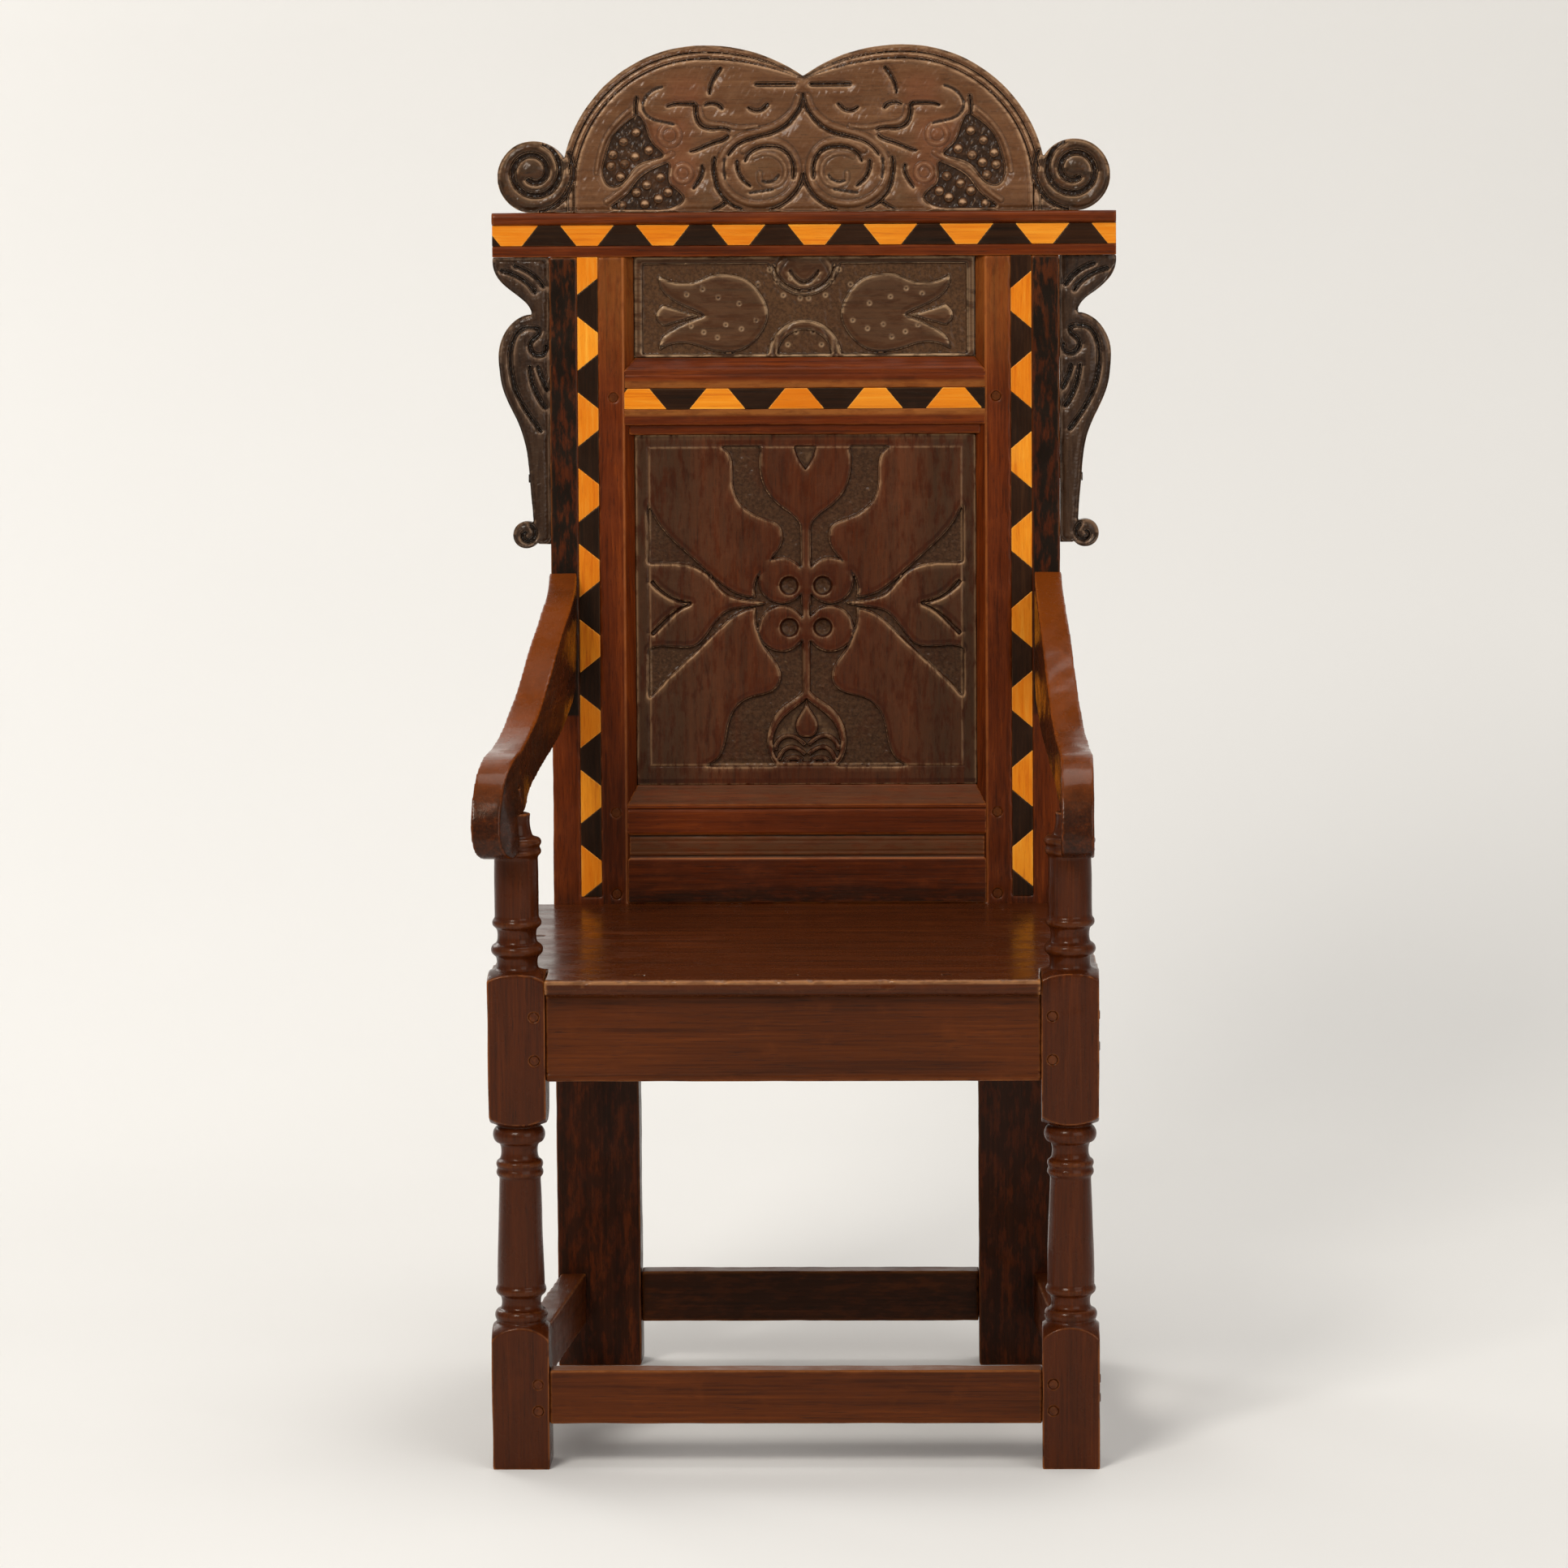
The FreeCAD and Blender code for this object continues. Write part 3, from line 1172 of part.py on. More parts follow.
def ear():
    """The right ear: a fluted leaf over a long scroll that ends in a small volute."""
    y = back_front + ear_setback
    top = seat_height + back_rise

    def spot(shares):
        return (stile_outer + shares[0] * ear_width, y, top - shares[1] * ear_drop)

    leaf = [spot(shares) for shares in ear_leaf_shares]
    scroll = [spot(shares) for shares in ear_scroll_shares]
    foot = (stile_outer, y, scroll[-1][2])
    head = (stile_outer, y, top)
    through = Vector(0, ear_thickness, 0)
    board = plate([line(head, leaf[0]), curve(leaf), curve(scroll), line(scroll[-1], foot),
                   line(foot, head)], through)
    hub = (stile_outer + ear_volute_share * ear_width, y, top - ear_drop + ear_volute_radius)
    volute = rod(ear_volute_radius, hub, (0, 1, 0), ear_thickness)
    front = y - overrun
    whorl = spiral((hub[0], front, hub[2]), (ear_volute_radius - 2 * ear_groove_half_width,
                                             ear_groove_half_width),
                   ear_whorl_start_turn, ear_whorl_turns)
    grooves = [ribbon(whorl, ear_groove_half_width, ear_groove_half_width, ear_groove_depth)]
    for path in ear_groove_shares:
        points = [(x, front, z) for x, _, z in (spot(shares) for shares in path)]
        grooves.append(ribbon(points, ear_groove_half_width, ear_groove_half_width, ear_groove_depth))
    return lean(cut_all(joined([board, volute]), ear_nail_holes + grooves))


def ear_nail_places():
    """Where the nails enter the right ear's outer edge, on the upright drawing."""
    y = back_front + ear_setback + ear_thickness / 2
    top = seat_height + back_rise
    return [(stile_outer + out_share * ear_width, y, top - down_share * ear_drop)
            for out_share, down_share in ear_nail_shares]


def nail(place, play, head_reach):
    """A nail driven inwards along -X with a round head, or with play its hole and seat."""
    shank = rod(nail_radius + play, place, (-1, 0, 0), nail_length + play)
    head = rod(nail_head_radius + play, place, (1, 0, 0), head_reach)
    return joined([shank, head])


ear_nail_holes = [nail(place, nail_play, ear_volute_radius) for place in ear_nail_places()]
nail_holes = [lean(hole) for hole in ear_nail_holes]


# Seat board

def seat_peg_places():
    """Tops of the pegs that hold the seat board on its rails."""
    spread = seat_peg_spread_share * leg_inner
    front_y = leg_front + rail_setback + rail_thickness / 2
    places = [(-spread, front_y), (0, front_y), (spread, front_y)]
    side_x = (front_span + back_span) / 4 - rail_setback - rail_thickness / 2
    mid_y = (leg_front + leg_square + back_front) / 2
    return places + [(-side_x, mid_y), (side_x, mid_y)]


def seat():
    """The board, notched round the posts, with a tongue between the stiles."""
    y_front = leg_front - seat_nosing
    inner = leg_inner - seat_gap
    y_notch = leg_front + leg_square + seat_gap
    tongue = stile_inner - seat_gap
    y_back = back_front - seat_gap
    y_tongue = back_front + stile_depth
    corners = [(0, y_front), (inner, y_front), (inner, y_notch), (front_span / 2, y_notch),
               (seat_back_half, y_back), (tongue, y_back), (tongue, y_tongue), (0, y_tongue)]
    half = prism([(x, y, rail_high) for x, y in corners], Vector(0, 0, seat_thickness))
    board = joined([half, mirrored(half)])
    for radius, z in ((nosing_under_radius, rail_high), (nosing_top_radius, seat_height)):
        nose = [edge for edge in board.Edges
                if edge.CenterOfMass.distanceToPoint(Vector(0, y_front, z)) < joint_play]
        board = board.makeFillet(radius, nose)
    return cut_all(board, seat_holes)


seat_peg_tops = [(x, y, seat_height) for x, y in seat_peg_places()]
seat_holes = [rod(seat_peg_radius + peg_play, (x, y, z + overrun), (0, 0, -1),
                  seat_peg_length + overrun + peg_play) for x, y, z in seat_peg_tops]
seat_pegs = [rod(seat_peg_radius, top, (0, 0, -1), seat_peg_length) for top in seat_peg_tops]


# Assembly

parts = {}


def add_pair(name, shape):
    parts[name + "_right"] = shape
    parts[name + "_left"] = mirrored(shape)


def group(solids):
    """Copies for both sides of a right-hand set, as one node of separate solids."""
    return Part.makeCompound(both_sides(solids))


for name, side in sides:
    parts["front_leg_" + name] = on_side(cut_all(front_leg(), arm_holes[name][:1]), side)
add_pair("back_stile", stile())
add_pair("seat_rail", cut_all(rail_side, side_holes + seat_holes))
add_pair("stretcher", cut_all(stretcher_side, side_holes))
add_pair("ear_bracket", ear())
for name, side in sides:
    parts["arm_" + name] = on_side(arm(name), side)
both_front_holes = both_sides(front_holes)
both_back_holes = both_sides(back_holes)
parts["seat_rail_front"] = cut_all(rail_front, both_front_holes + seat_holes)
parts["seat_rail_back"] = rail_back
parts["stretcher_front"] = cut_all(stretcher_front, both_front_holes)
parts["stretcher_back"] = stretcher_back
parts["seat_board"] = seat()
parts["bottom_rail"] = cut_all(bottom_rail(), both_back_holes)
parts["mid_rail"] = cut_all(mid_rail(), both_back_holes)
parts["top_rail"] = top_rail()
parts["lower_panel"] = lower_panel()
parts["upper_panel"] = upper_panel()
parts["cresting"] = crest()
parts["cresting_dowels"] = Part.makeCompound([lean(dowel(place, 0)) for place in dowel_places()])
parts["pegs_front"] = group([peg(place) for place in front_peg_places])
parts["pegs_side"] = group([peg(place) for place in side_peg_places])
parts["pegs_back"] = group([
    lean(peg(place, peg_radius, back_peg_proud)) for place in back_peg_places])
parts["pegs_arm"] = Part.makeCompound([
    on_side(peg(place, arm_peg_radius), side) for name, side in sides for place in arm_peg_places[name]])
parts["pegs_seat"] = Part.makeCompound(seat_pegs)
parts["ear_nails"] = group([
    lean(nail(place, 0, nail_head_height)) for place in ear_nail_places()])
top_bands = rail_band("top", stile_outer + top_rail_overhang, back_rise + top_inlay_low,
                      top_inlay_width, True)
mid_bands = rail_band("mid", arris, mid_rail_low + mid_inlay_low, mid_inlay_width, False)
for tone, band in zip(("pale", "dark"), top_bands):
    parts["inlay_top_" + tone] = band
for tone, band in zip(("pale", "dark"), mid_bands):
    parts["inlay_mid_" + tone] = band
for name, side in sides:
    for tone, band in zip(("pale", "dark"), stile_band(name, side)):
        parts["inlay_" + name + "_" + tone] = band

os.makedirs("parts", exist_ok=True)
for name, shape in parts.items():
    if not shape.isValid():
        print("not valid:", name)
    shape.exportStep("parts/" + name + ".step")
print(len(parts), "parts, overall depth", round(overall_depth, 1))
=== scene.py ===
import math
import bpy
import numpy as np
from mathutils import Matrix, Vector
from mathutils.bvhtree import BVHTree


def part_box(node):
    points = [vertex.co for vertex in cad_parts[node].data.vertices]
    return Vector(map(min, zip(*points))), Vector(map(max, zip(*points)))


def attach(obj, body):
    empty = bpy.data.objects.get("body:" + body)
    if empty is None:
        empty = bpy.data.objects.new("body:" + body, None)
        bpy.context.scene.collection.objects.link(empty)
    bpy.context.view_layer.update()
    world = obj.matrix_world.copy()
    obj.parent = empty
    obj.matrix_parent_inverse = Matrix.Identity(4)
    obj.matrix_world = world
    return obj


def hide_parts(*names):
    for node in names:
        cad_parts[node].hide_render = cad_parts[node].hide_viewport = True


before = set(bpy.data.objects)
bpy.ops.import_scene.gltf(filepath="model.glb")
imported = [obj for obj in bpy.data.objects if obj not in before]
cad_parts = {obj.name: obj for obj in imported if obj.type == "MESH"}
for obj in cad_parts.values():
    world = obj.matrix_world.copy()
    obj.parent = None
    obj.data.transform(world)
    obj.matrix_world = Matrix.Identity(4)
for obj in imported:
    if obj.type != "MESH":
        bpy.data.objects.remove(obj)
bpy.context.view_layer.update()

seat_low, seat_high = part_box("seat_board")
seat_top = seat_high[2]
seat_front = seat_low[1]
back_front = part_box("back_stile_left")[0][1]

# The back leans by 0.06 of its height about this line. Its boards are worked upright and
# tipped back again.
rake = math.atan(0.06)
pivot = Vector((0, back_front, seat_top))
tip_back = Matrix.Translation(pivot) @ Matrix.Rotation(-rake, 4, "X") @ Matrix.Translation(-pivot)
stand_up = tip_back.inverted()


def srgb(red, green, blue):
    """A colour given as 0 to 255 screen values, in the renderer's linear terms."""
    def linear(value):
        value /= 255
        return value / 12.92 if value <= 0.04045 else ((value + 0.055) / 1.055) ** 2.4
    return (linear(red), linear(green), linear(blue), 1)


# Node materials

class Tree:
    """Builds a material's nodes with one call each."""

    def __init__(self, name):
        self.material = bpy.data.materials.new(name)
        self.material.use_nodes = True
        self.nodes = self.material.node_tree.nodes
        self.links = self.material.node_tree.links
        self.nodes.clear()

    def add(self, kind, inputs=None, **settings):
        node = self.nodes.new("ShaderNode" + kind)
        for key, value in settings.items():
            setattr(node, key, value)
        for key, value in (inputs or {}).items():
            self.put(node.inputs[key], value)
        return node

    def put(self, socket, value):
        if isinstance(value, bpy.types.NodeSocket):
            self.links.new(value, socket)
        else:
            socket.default_value = value

    def noise(self, vector, scale, detail=3.0, rough=0.5, distortion=0.0):
        return self.add("TexNoise", {"Vector": vector, "Scale": scale, "Detail": detail,
                                     "Roughness": rough, "Distortion": distortion}).outputs["Fac"]

    def remap(self, value, low, high, start=0.0, end=1.0, smooth=True):
        node = self.add("MapRange", {"Value": value, "From Min": low, "From Max": high,
                                     "To Min": start, "To Max": end}, clamp=True,
                        interpolation_type="SMOOTHSTEP" if smooth else "LINEAR")
        return node.outputs["Result"]

    def math(self, operation, first, second=0.0):
        node = self.add("Math", {0: first, 1: second}, operation=operation)
        return node.outputs[0]

    def plus(self, value, other, times):
        """The value plus a number of times the other one."""
        return self.math("ADD", value, self.math("MULTIPLY", other, times))

    def mix(self, share, first, second):
        node = self.add("Mix", data_type="RGBA")
        self.put(node.inputs[0], share)
        self.put(node.inputs[6], first)
        self.put(node.inputs[7], second)
        return node.outputs[2]

    def finish(self, shader):
        output = self.add("OutputMaterial")
        self.links.new(shader.outputs[0], output.inputs["Surface"])
        return self.material


def wood(name, along, dark, mid, light, worn_and_highlight, grime_and_shade, seed=0.0, rough=0.42, wear=1.0, carving=False,
         coat=0.08, pores=1.0, patches=0.35, shades=(), stains=(), tops=0.0, varied=0.0,
         dirt_and_shade=0.5, gloss=0.2):
    """Old waxed wood with its grain along the axis number. Colours are linear.

    Patches, pores and wear say how strong the dark patches, the pores and the pale edges are,
    tops how worn the upward faces are, and varied how much separate pieces differ in tone.
    Rough is the wood's roughness; coat and gloss are the wax's share and roughness. Carving is
    the tint of a sunk ground, and dirt how dark a carved shape is beside its channels, with dirt
    and painted shade. The grime colour tints the pores, and the hollows with dirt and painted
    shade; the worn colour tints worn edges and tops, and carved rims with wear and painted
    highlight. Stains are regions (out from the middle from and to, up from and to), each with a
    share of another tint and how softly it ends; they hold real stains and wear and also painted
    shadow and shade. Shades are the same, but only on the faces to the front, and hold painted
    shade, shadow, sheen and highlight as well as real tints and wear."""
    tree = Tree(name)
    place = tree.add("TexCoord").outputs["Object"]
    geometry = tree.add("NewGeometry")
    pointy = geometry.outputs["Pointiness"]
    normal = tree.add("SeparateXYZ", {0: geometry.outputs["Normal"]}).outputs
    spot = tree.add("SeparateXYZ", {0: place}).outputs

    def grain(across, length, shift, **settings):
        """Noise with that many features a metre across the grain and along it."""
        scale = [across, across, across]
        scale[along] = length
        node = tree.add("Mapping", {"Vector": place, "Scale": scale,
                                    "Location": (seed + shift, seed * 1.7, shift - seed)})
        return tree.noise(node.outputs["Vector"], 1.0, **settings)

    figure = grain(55, 2.6, 3.1, detail=5.0, rough=0.62, distortion=1.2)
    streaks = grain(420, 9.0, 7.7, detail=3.0, rough=0.6, distortion=0.3)
    fibres = grain(1500, 38.0, 1.3, detail=2.0, rough=0.6)
    patch = grain(7, 4.5, 5.9, detail=4.0, rough=0.55, distortion=0.4)
    blotch = grain(38, 30, 9.2, detail=4.0, rough=0.6)
    scuff = grain(160, 45, 2.2, detail=4.0, rough=0.65)

    # The wood itself: its figure, patches and pores
    tone = tree.plus(tree.math("MULTIPLY", streaks, 0.45), figure, 0.55)
    colour = tree.mix(tree.remap(tone, 0.36, 0.52), dark, mid)
    colour = tree.mix(tree.remap(tone, 0.50, 0.68), colour, light)
    colour = tree.mix(tree.remap(patch, 0.38, 0.66, 0.0, patches), colour, dark)
    colour = tree.mix(tree.remap(blotch, 0.56, 0.74, 0.0, 0.30), colour, light)
    pore = tree.remap(fibres, 0.60, 0.70)
    colour = tree.mix(tree.math("MULTIPLY", pore, 0.55 * pores), colour, grime_and_shade)

    # Regions of other tint: real stains and wear, and painted shade, shadow, sheen and highlight.
    to_front = tree.remap(normal[1], -0.2, -0.6)
    regions = [stain + (1.0,) for stain in stains] + [shade + (to_front,) for shade in shades]
    for out_low, out_high, low, high, share, tint, soft, facing in regions:
        inside = tree.math("MULTIPLY", tree.remap(scuff, 0.36, 0.56, 0.55 * share, share), facing)
        for where, start, end in ((tree.math("ABSOLUTE", spot[0]), out_low, out_high),
                                  (spot[2], low, high)):
            inside = tree.math("MULTIPLY", inside, tree.remap(where, start - soft, start + soft))
            inside = tree.math("MULTIPLY", inside, tree.remap(where, end + soft, end - soft))
        colour = tree.mix(inside, colour, tint)
    if varied:
        piece = geometry.outputs["Random Per Island"]
        colour = tree.mix(tree.remap(piece, 0.3, 1.0, 0.0, varied, False), colour, dark)
        colour = tree.mix(tree.remap(piece, 0.5, 0.0, 0.0, 0.6 * varied, False), colour, light)
    if tops:
        handled = tree.math("MULTIPLY", tree.remap(normal[2], 0.25, 0.80),
                            tree.remap(patch, 0.30, 0.60, 0.45, 1.0))
        colour = tree.mix(tree.math("MULTIPLY", handled, tops), colour, worn_and_highlight)

    # Dirt and painted shade in the hollows, and worn edges; on carving, painted shade beside the
    # channels and wear with painted highlight on the rims
    edge = tree.math("MULTIPLY", tree.remap(pointy, 0.508, 0.57), tree.remap(scuff, 0.34, 0.56))
    hollow = tree.remap(pointy, 0.487, 0.42)
    if carving:
        relief, rim, beside = (
            tree.add("Attribute", attribute_type="GEOMETRY", attribute_name=layer).outputs["Fac"]
            for layer in ("relief", "rim", "beside"))
        # Painted shade, with some dirt, darkens the wood beside the carved channels.
        colour = tree.mix(tree.remap(beside, 0.06, 0.42, 0.0, dirt_and_shade), colour, grime_and_shade)
        ground = tree.remap(relief, 0.60, 0.25)
        dust = grain(330, 330, 4.4, detail=4.0, rough=0.7)
        tint = tree.mix(tree.remap(dust, 0.36, 0.62, 0.45, 1.0), grime_and_shade, carving)
        cover = tree.math("MULTIPLY", ground, tree.remap(blotch, 0.30, 0.55, 0.55, 0.92))
        colour = tree.mix(cover, colour, tint)
        # Carved rims: wear and painted highlight, joined to the worn edges.
        scuffed_rim = tree.math("MULTIPLY", rim, tree.remap(scuff, 0.34, 0.56, 0.15, 1.0))
        edge = tree.math("MAXIMUM", edge, scuffed_rim)
    colour = tree.mix(tree.math("MULTIPLY", hollow, 0.75), colour, grime_and_shade)
    colour = tree.mix(tree.math("MULTIPLY", edge, 0.62 * wear), colour, worn_and_highlight)

    # Roughness and the finest relief
    polish = tree.remap(blotch, 0.35, 0.70, rough - 0.07, rough + 0.12)
    polish = tree.plus(tree.plus(polish, edge, -0.10), hollow, 0.20)
    height = tree.plus(tree.math("MULTIPLY", streaks, 0.55), pore, -0.5)
    height = tree.plus(height, blotch, 0.6)
    if carving:
        polish = tree.plus(polish, ground, 0.14)
        pits = grain(520, 520, 8.8, detail=2.0, rough=0.6)
        height = tree.plus(height, tree.math("MULTIPLY", pits, ground), 1.6)
    bump = tree.add("Bump", {"Height": height, "Strength": 0.45, "Distance": 0.0006})
    shader = tree.add("BsdfPrincipled", {
        "Base Color": colour, "Roughness": polish, "Normal": bump.outputs["Normal"],
        "Specular IOR Level": 0.12, "Specular Tint": (1.0, 0.78, 0.58, 1.0), "Coat Weight": coat,
        "Coat Roughness": gloss})
    return tree.finish(shader)


black = srgb(20, 11, 6)
kinds = {
    "leg": dict(dark=srgb(52, 20, 5), mid=srgb(68, 27, 6), light=srgb(84, 36, 9),
                worn_and_highlight=srgb(160, 92, 42), grime_and_shade=black, rough=0.30, coat=0.15, gloss=0.08, wear=1.3),
    "stile": dict(dark=srgb(66, 23, 4), mid=srgb(96, 37, 7), light=srgb(124, 54, 13),
                  worn_and_highlight=srgb(160, 88, 36), grime_and_shade=black, rough=0.38, coat=0.1),
    "rail": dict(dark=srgb(58, 24, 6), mid=srgb(80, 35, 8), light=srgb(98, 46, 12),
                 worn_and_highlight=srgb(156, 92, 42), grime_and_shade=black, rough=0.40, coat=0.1),
    # The crest's and ears' carving tint is dark: dirt, and painted shade in their narrow channels.
    "crest": dict(dark=srgb(82, 51, 30), mid=srgb(98, 62, 37), light=srgb(118, 80, 51),
                  worn_and_highlight=srgb(190, 150, 114), grime_and_shade=srgb(18, 10, 5), rough=0.34, coat=0.2,
                  carving=srgb(40, 24, 14), dirt_and_shade=0.75),
    "carved": dict(dark=srgb(54, 31, 16), mid=srgb(70, 40, 21), light=srgb(84, 50, 28),
                   worn_and_highlight=srgb(190, 154, 116), grime_and_shade=srgb(18, 10, 6), rough=0.36, coat=0.2,
                   dirt_and_shade=0.8, carving=srgb(88, 59, 36)),
    "ear": dict(dark=srgb(30, 17, 10), mid=srgb(46, 28, 17), light=srgb(66, 44, 29),
                worn_and_highlight=srgb(156, 124, 98), grime_and_shade=srgb(14, 8, 5), rough=0.32, coat=0.25,
                carving=srgb(26, 15, 9), dirt_and_shade=0.7),
    "panel": dict(dark=srgb(54, 20, 6), mid=srgb(70, 27, 7), light=srgb(86, 36, 11),
                  worn_and_highlight=srgb(196, 152, 110), grime_and_shade=srgb(18, 10, 6), rough=0.36, coat=0.12,
                  carving=srgb(74, 49, 31), dirt_and_shade=0.8),
    "arm": dict(dark=srgb(44, 17, 4), mid=srgb(72, 29, 6), light=srgb(108, 49, 12),
                worn_and_highlight=srgb(138, 66, 14), grime_and_shade=black, rough=0.26, coat=0.22, gloss=0.12, tops=0.7),
    "seat": dict(dark=srgb(52, 21, 5), mid=srgb(74, 31, 7), light=srgb(96, 44, 13),
                 worn_and_highlight=srgb(176, 118, 68), grime_and_shade=black, rough=0.26, coat=0.17, gloss=0.15, wear=1.4),
    "peg": dict(dark=srgb(34, 13, 4), mid=srgb(56, 23, 6), light=srgb(78, 35, 10),
                worn_and_highlight=srgb(100, 52, 22), grime_and_shade=black, rough=0.42, wear=0.5),
    "pale": dict(dark=srgb(204, 102, 12), mid=srgb(234, 138, 24), light=srgb(244, 168, 54),
                 worn_and_highlight=srgb(248, 190, 92), grime_and_shade=srgb(84, 40, 10), rough=0.38, pores=0.3,
                 patches=0.4, varied=0.45),
    "dark": dict(dark=srgb(22, 12, 6), mid=srgb(40, 20, 9), light=srgb(60, 34, 17),
                 worn_and_highlight=srgb(92, 64, 40), grime_and_shade=srgb(12, 9, 8), rough=0.38, pores=0.5, varied=0.4),
}
materials = {}


def oak(kind, along, seed, **changes):
    """A kind of wood from the table, made once for each grain direction and seed."""
    key = "%s_%s_%s" % (kind, "xyz"[along], str(seed).replace(".", "_"))
    if key not in materials:
        settings = dict(kinds[kind], **changes)
        materials[key] = wood(key, along, seed=seed, **settings)
    return materials[key]


def iron():
    tree = Tree("old_iron")
    place = tree.add("TexCoord").outputs["Object"]
    rust = tree.noise(place, 900.0, 4.0, 0.65)
    colour = tree.mix(tree.remap(rust, 0.42, 0.64), srgb(34, 30, 28), srgb(78, 48, 32))
    bump = tree.add("Bump", {"Height": rust, "Strength": 0.5, "Distance": 0.0004})
    shader = tree.add("BsdfPrincipled", {
        "Base Color": colour, "Roughness": tree.remap(rust, 0.35, 0.65, 0.42, 0.7), "Metallic": 0.7,
        "Normal": bump.outputs["Normal"]})
    return tree.finish(shader)


# Meshes: each piece is the CAD node's shape with worn arrises and hand-worked faces

def object_of(name, mesh):
    obj = bpy.data.objects.new(name, mesh)
    bpy.context.scene.collection.objects.link(obj)
    return obj


def evaluated(obj):
    """The object's mesh with its modifiers applied; the object itself is removed."""
    depsgraph = bpy.context.evaluated_depsgraph_get()
    mesh = bpy.data.meshes.new_from_object(obj.evaluated_get(depsgraph), depsgraph=depsgraph)
    old = obj.data
    bpy.data.objects.remove(obj)
    bpy.data.meshes.remove(old)
    return mesh


def points_of(mesh):
    co = np.empty(len(mesh.vertices) * 3, np.float32)
    mesh.vertices.foreach_get("co", co)
    return co.reshape(-1, 3)


def normals_of(mesh):
    normals = np.empty(len(mesh.vertices) * 3, np.float32)
    mesh.vertex_normals.foreach_get("vector", normals)
    return normals.reshape(-1, 3)


def set_points(mesh, co):
    mesh.vertices.foreach_set("co", np.ascontiguousarray(co, np.float32).ravel())
    mesh.update()


def uneven(co, seed, reach, waves=9, shortest=0.018, longest=0.09):
    """A smooth random height at each point, from waves in seeded directions."""
    random = np.random.default_rng(seed)
    total = np.zeros(len(co))
    for _ in range(waves):
        direction = random.normal(size=3)
        direction /= np.linalg.norm(direction)
        length = random.uniform(shortest, longest)
        total += np.sin(co @ direction * (2 * math.pi / length) + random.uniform(0, 2 * math.pi))
    return reach * total / math.sqrt(waves)


def worked(node, voxel, rounds, material, seed, leaning=False, reach=0.00022, dress=None):
    """Replaces a CAD node by a dense mesh of the same shape: the voxel is its cell, rounds how
    often it is smoothed, reach how uneven its faces are, and dress moves the points further."""
    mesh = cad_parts[node].data.copy()
    mesh.materials.clear()
    if leaning:
        mesh.transform(stand_up)
    tree = BVHTree.FromPolygons([v.co for v in mesh.vertices], [p.vertices for p in mesh.polygons])
    obj = object_of(node + "_blank", mesh)
    remesh = obj.modifiers.new("remesh", "REMESH")
    remesh.mode = "VOXEL"
    remesh.voxel_size = voxel
    remesh.adaptivity = 0
    soften = obj.modifiers.new("soften", "SMOOTH")
    soften.factor = 0.5
    soften.iterations = rounds
    mesh = evaluated(obj)
    co, normals = points_of(mesh), normals_of(mesh)
    co = co + normals * uneven(co, seed, reach)[:, None]
    if dress:
        co = dress(mesh, co, normals, tree)
    set_points(mesh, co)
    if leaning:
        mesh.transform(tip_back)
    low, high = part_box(node)
    set_points(mesh, np.clip(points_of(mesh), np.array(low), np.array(high)))
    mesh.shade_smooth()
    mesh.materials.append(material)
    piece = object_of(node + "_piece", mesh)
    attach(piece, "root")
    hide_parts(node)


# Carved boards

def depth_map(tree, front, x0, x1, z0, z1, step, deepest):
    """How far a carved face lies behind its board's front, on an upright grid."""
    xs = np.arange(x0, x1 + step / 2, step)
    zs = np.arange(z0, z1 + step / 2, step)
    depths = np.full((len(zs), len(xs)), deepest)
    lead = 0.01
    start, reach = front - lead, lead + 2 * deepest
    for row, z in enumerate(zs):
        for column, x in enumerate(xs):
            hit = tree.ray_cast(Vector((x, start, z)), Vector((0, 1, 0)), reach)[0]
            if hit is not None:
                depths[row, column] = min(max(hit.y - front, 0), deepest)
    return depths


def blurred(grid, cells):
    """The grid blurred by a bell curve a number of cells wide."""
    span = int(math.ceil(3 * cells))
    kernel = np.exp(-0.5 * (np.arange(-span, span + 1) / cells) ** 2)
    kernel /= kernel.sum()
    padded = np.pad(grid, span, mode="edge")
    rows = np.apply_along_axis(lambda line: np.convolve(line, kernel, "valid"), 0, padded)
    return np.apply_along_axis(lambda line: np.convolve(line, kernel, "valid"), 1, rows)


def sampled(grid, u, v):
    """Values of the grid at fractional columns u and rows v."""
    u = np.clip(u, 0, grid.shape[1] - 1.001)
    v = np.clip(v, 0, grid.shape[0] - 1.001)
    i, j = u.astype(int), v.astype(int)
    a, b = u - i, v - j
    return ((grid[j, i] * (1 - a) + grid[j, i + 1] * a) * (1 - b)
            + (grid[j + 1, i] * (1 - a) + grid[j + 1, i + 1] * a) * b)


def bell(away, width):
    """A bell curve: 1 where away is 0, and next to nothing from twice the width on."""
    return np.exp(-(away / width) ** 2)


def rounded(points, times=2):
    """The points of a line with its corners cut, each time at the quarters of every stretch."""
    points = np.array(points, float)
    for _ in range(times):
        inner = np.empty((2 * len(points) - 2, 2))
        inner[0::2] = 0.75 * points[:-1] + 0.25 * points[1:]
        inner[1::2] = 0.25 * points[:-1] + 0.75 * points[1:]
        points = np.vstack((points[:1], inner, points[-1:]))
    return points


def away_from(points, out, up):
    """The distance of each place (out, up) from a line of points."""
    nearest = np.full(len(out), 1.0)
    for start, end in zip(points, points[1:]):
        across, rise = end - start
        share = ((out - start[0]) * across + (up - start[1]) * rise) / (across ** 2 + rise ** 2)
        share = np.clip(share, 0, 1)
        nearest = np.minimum(nearest, np.hypot(out - start[0] - share * across,
                                               up - start[1] - share * rise))
    return nearest


# For all carved faces: the widths of the two blurred depth maps, how far a shape drops right
# beside a channel, how far behind the front the face may lie, and the fall of the narrow map
# from one cell to the next that counts as a full edge, for the painted highlight on upward edges
narrow_blur, wide_blur = 0.0016, 0.004
edge_drop = 0.0014
face_reach = 0.006
full_fall = 0.00115


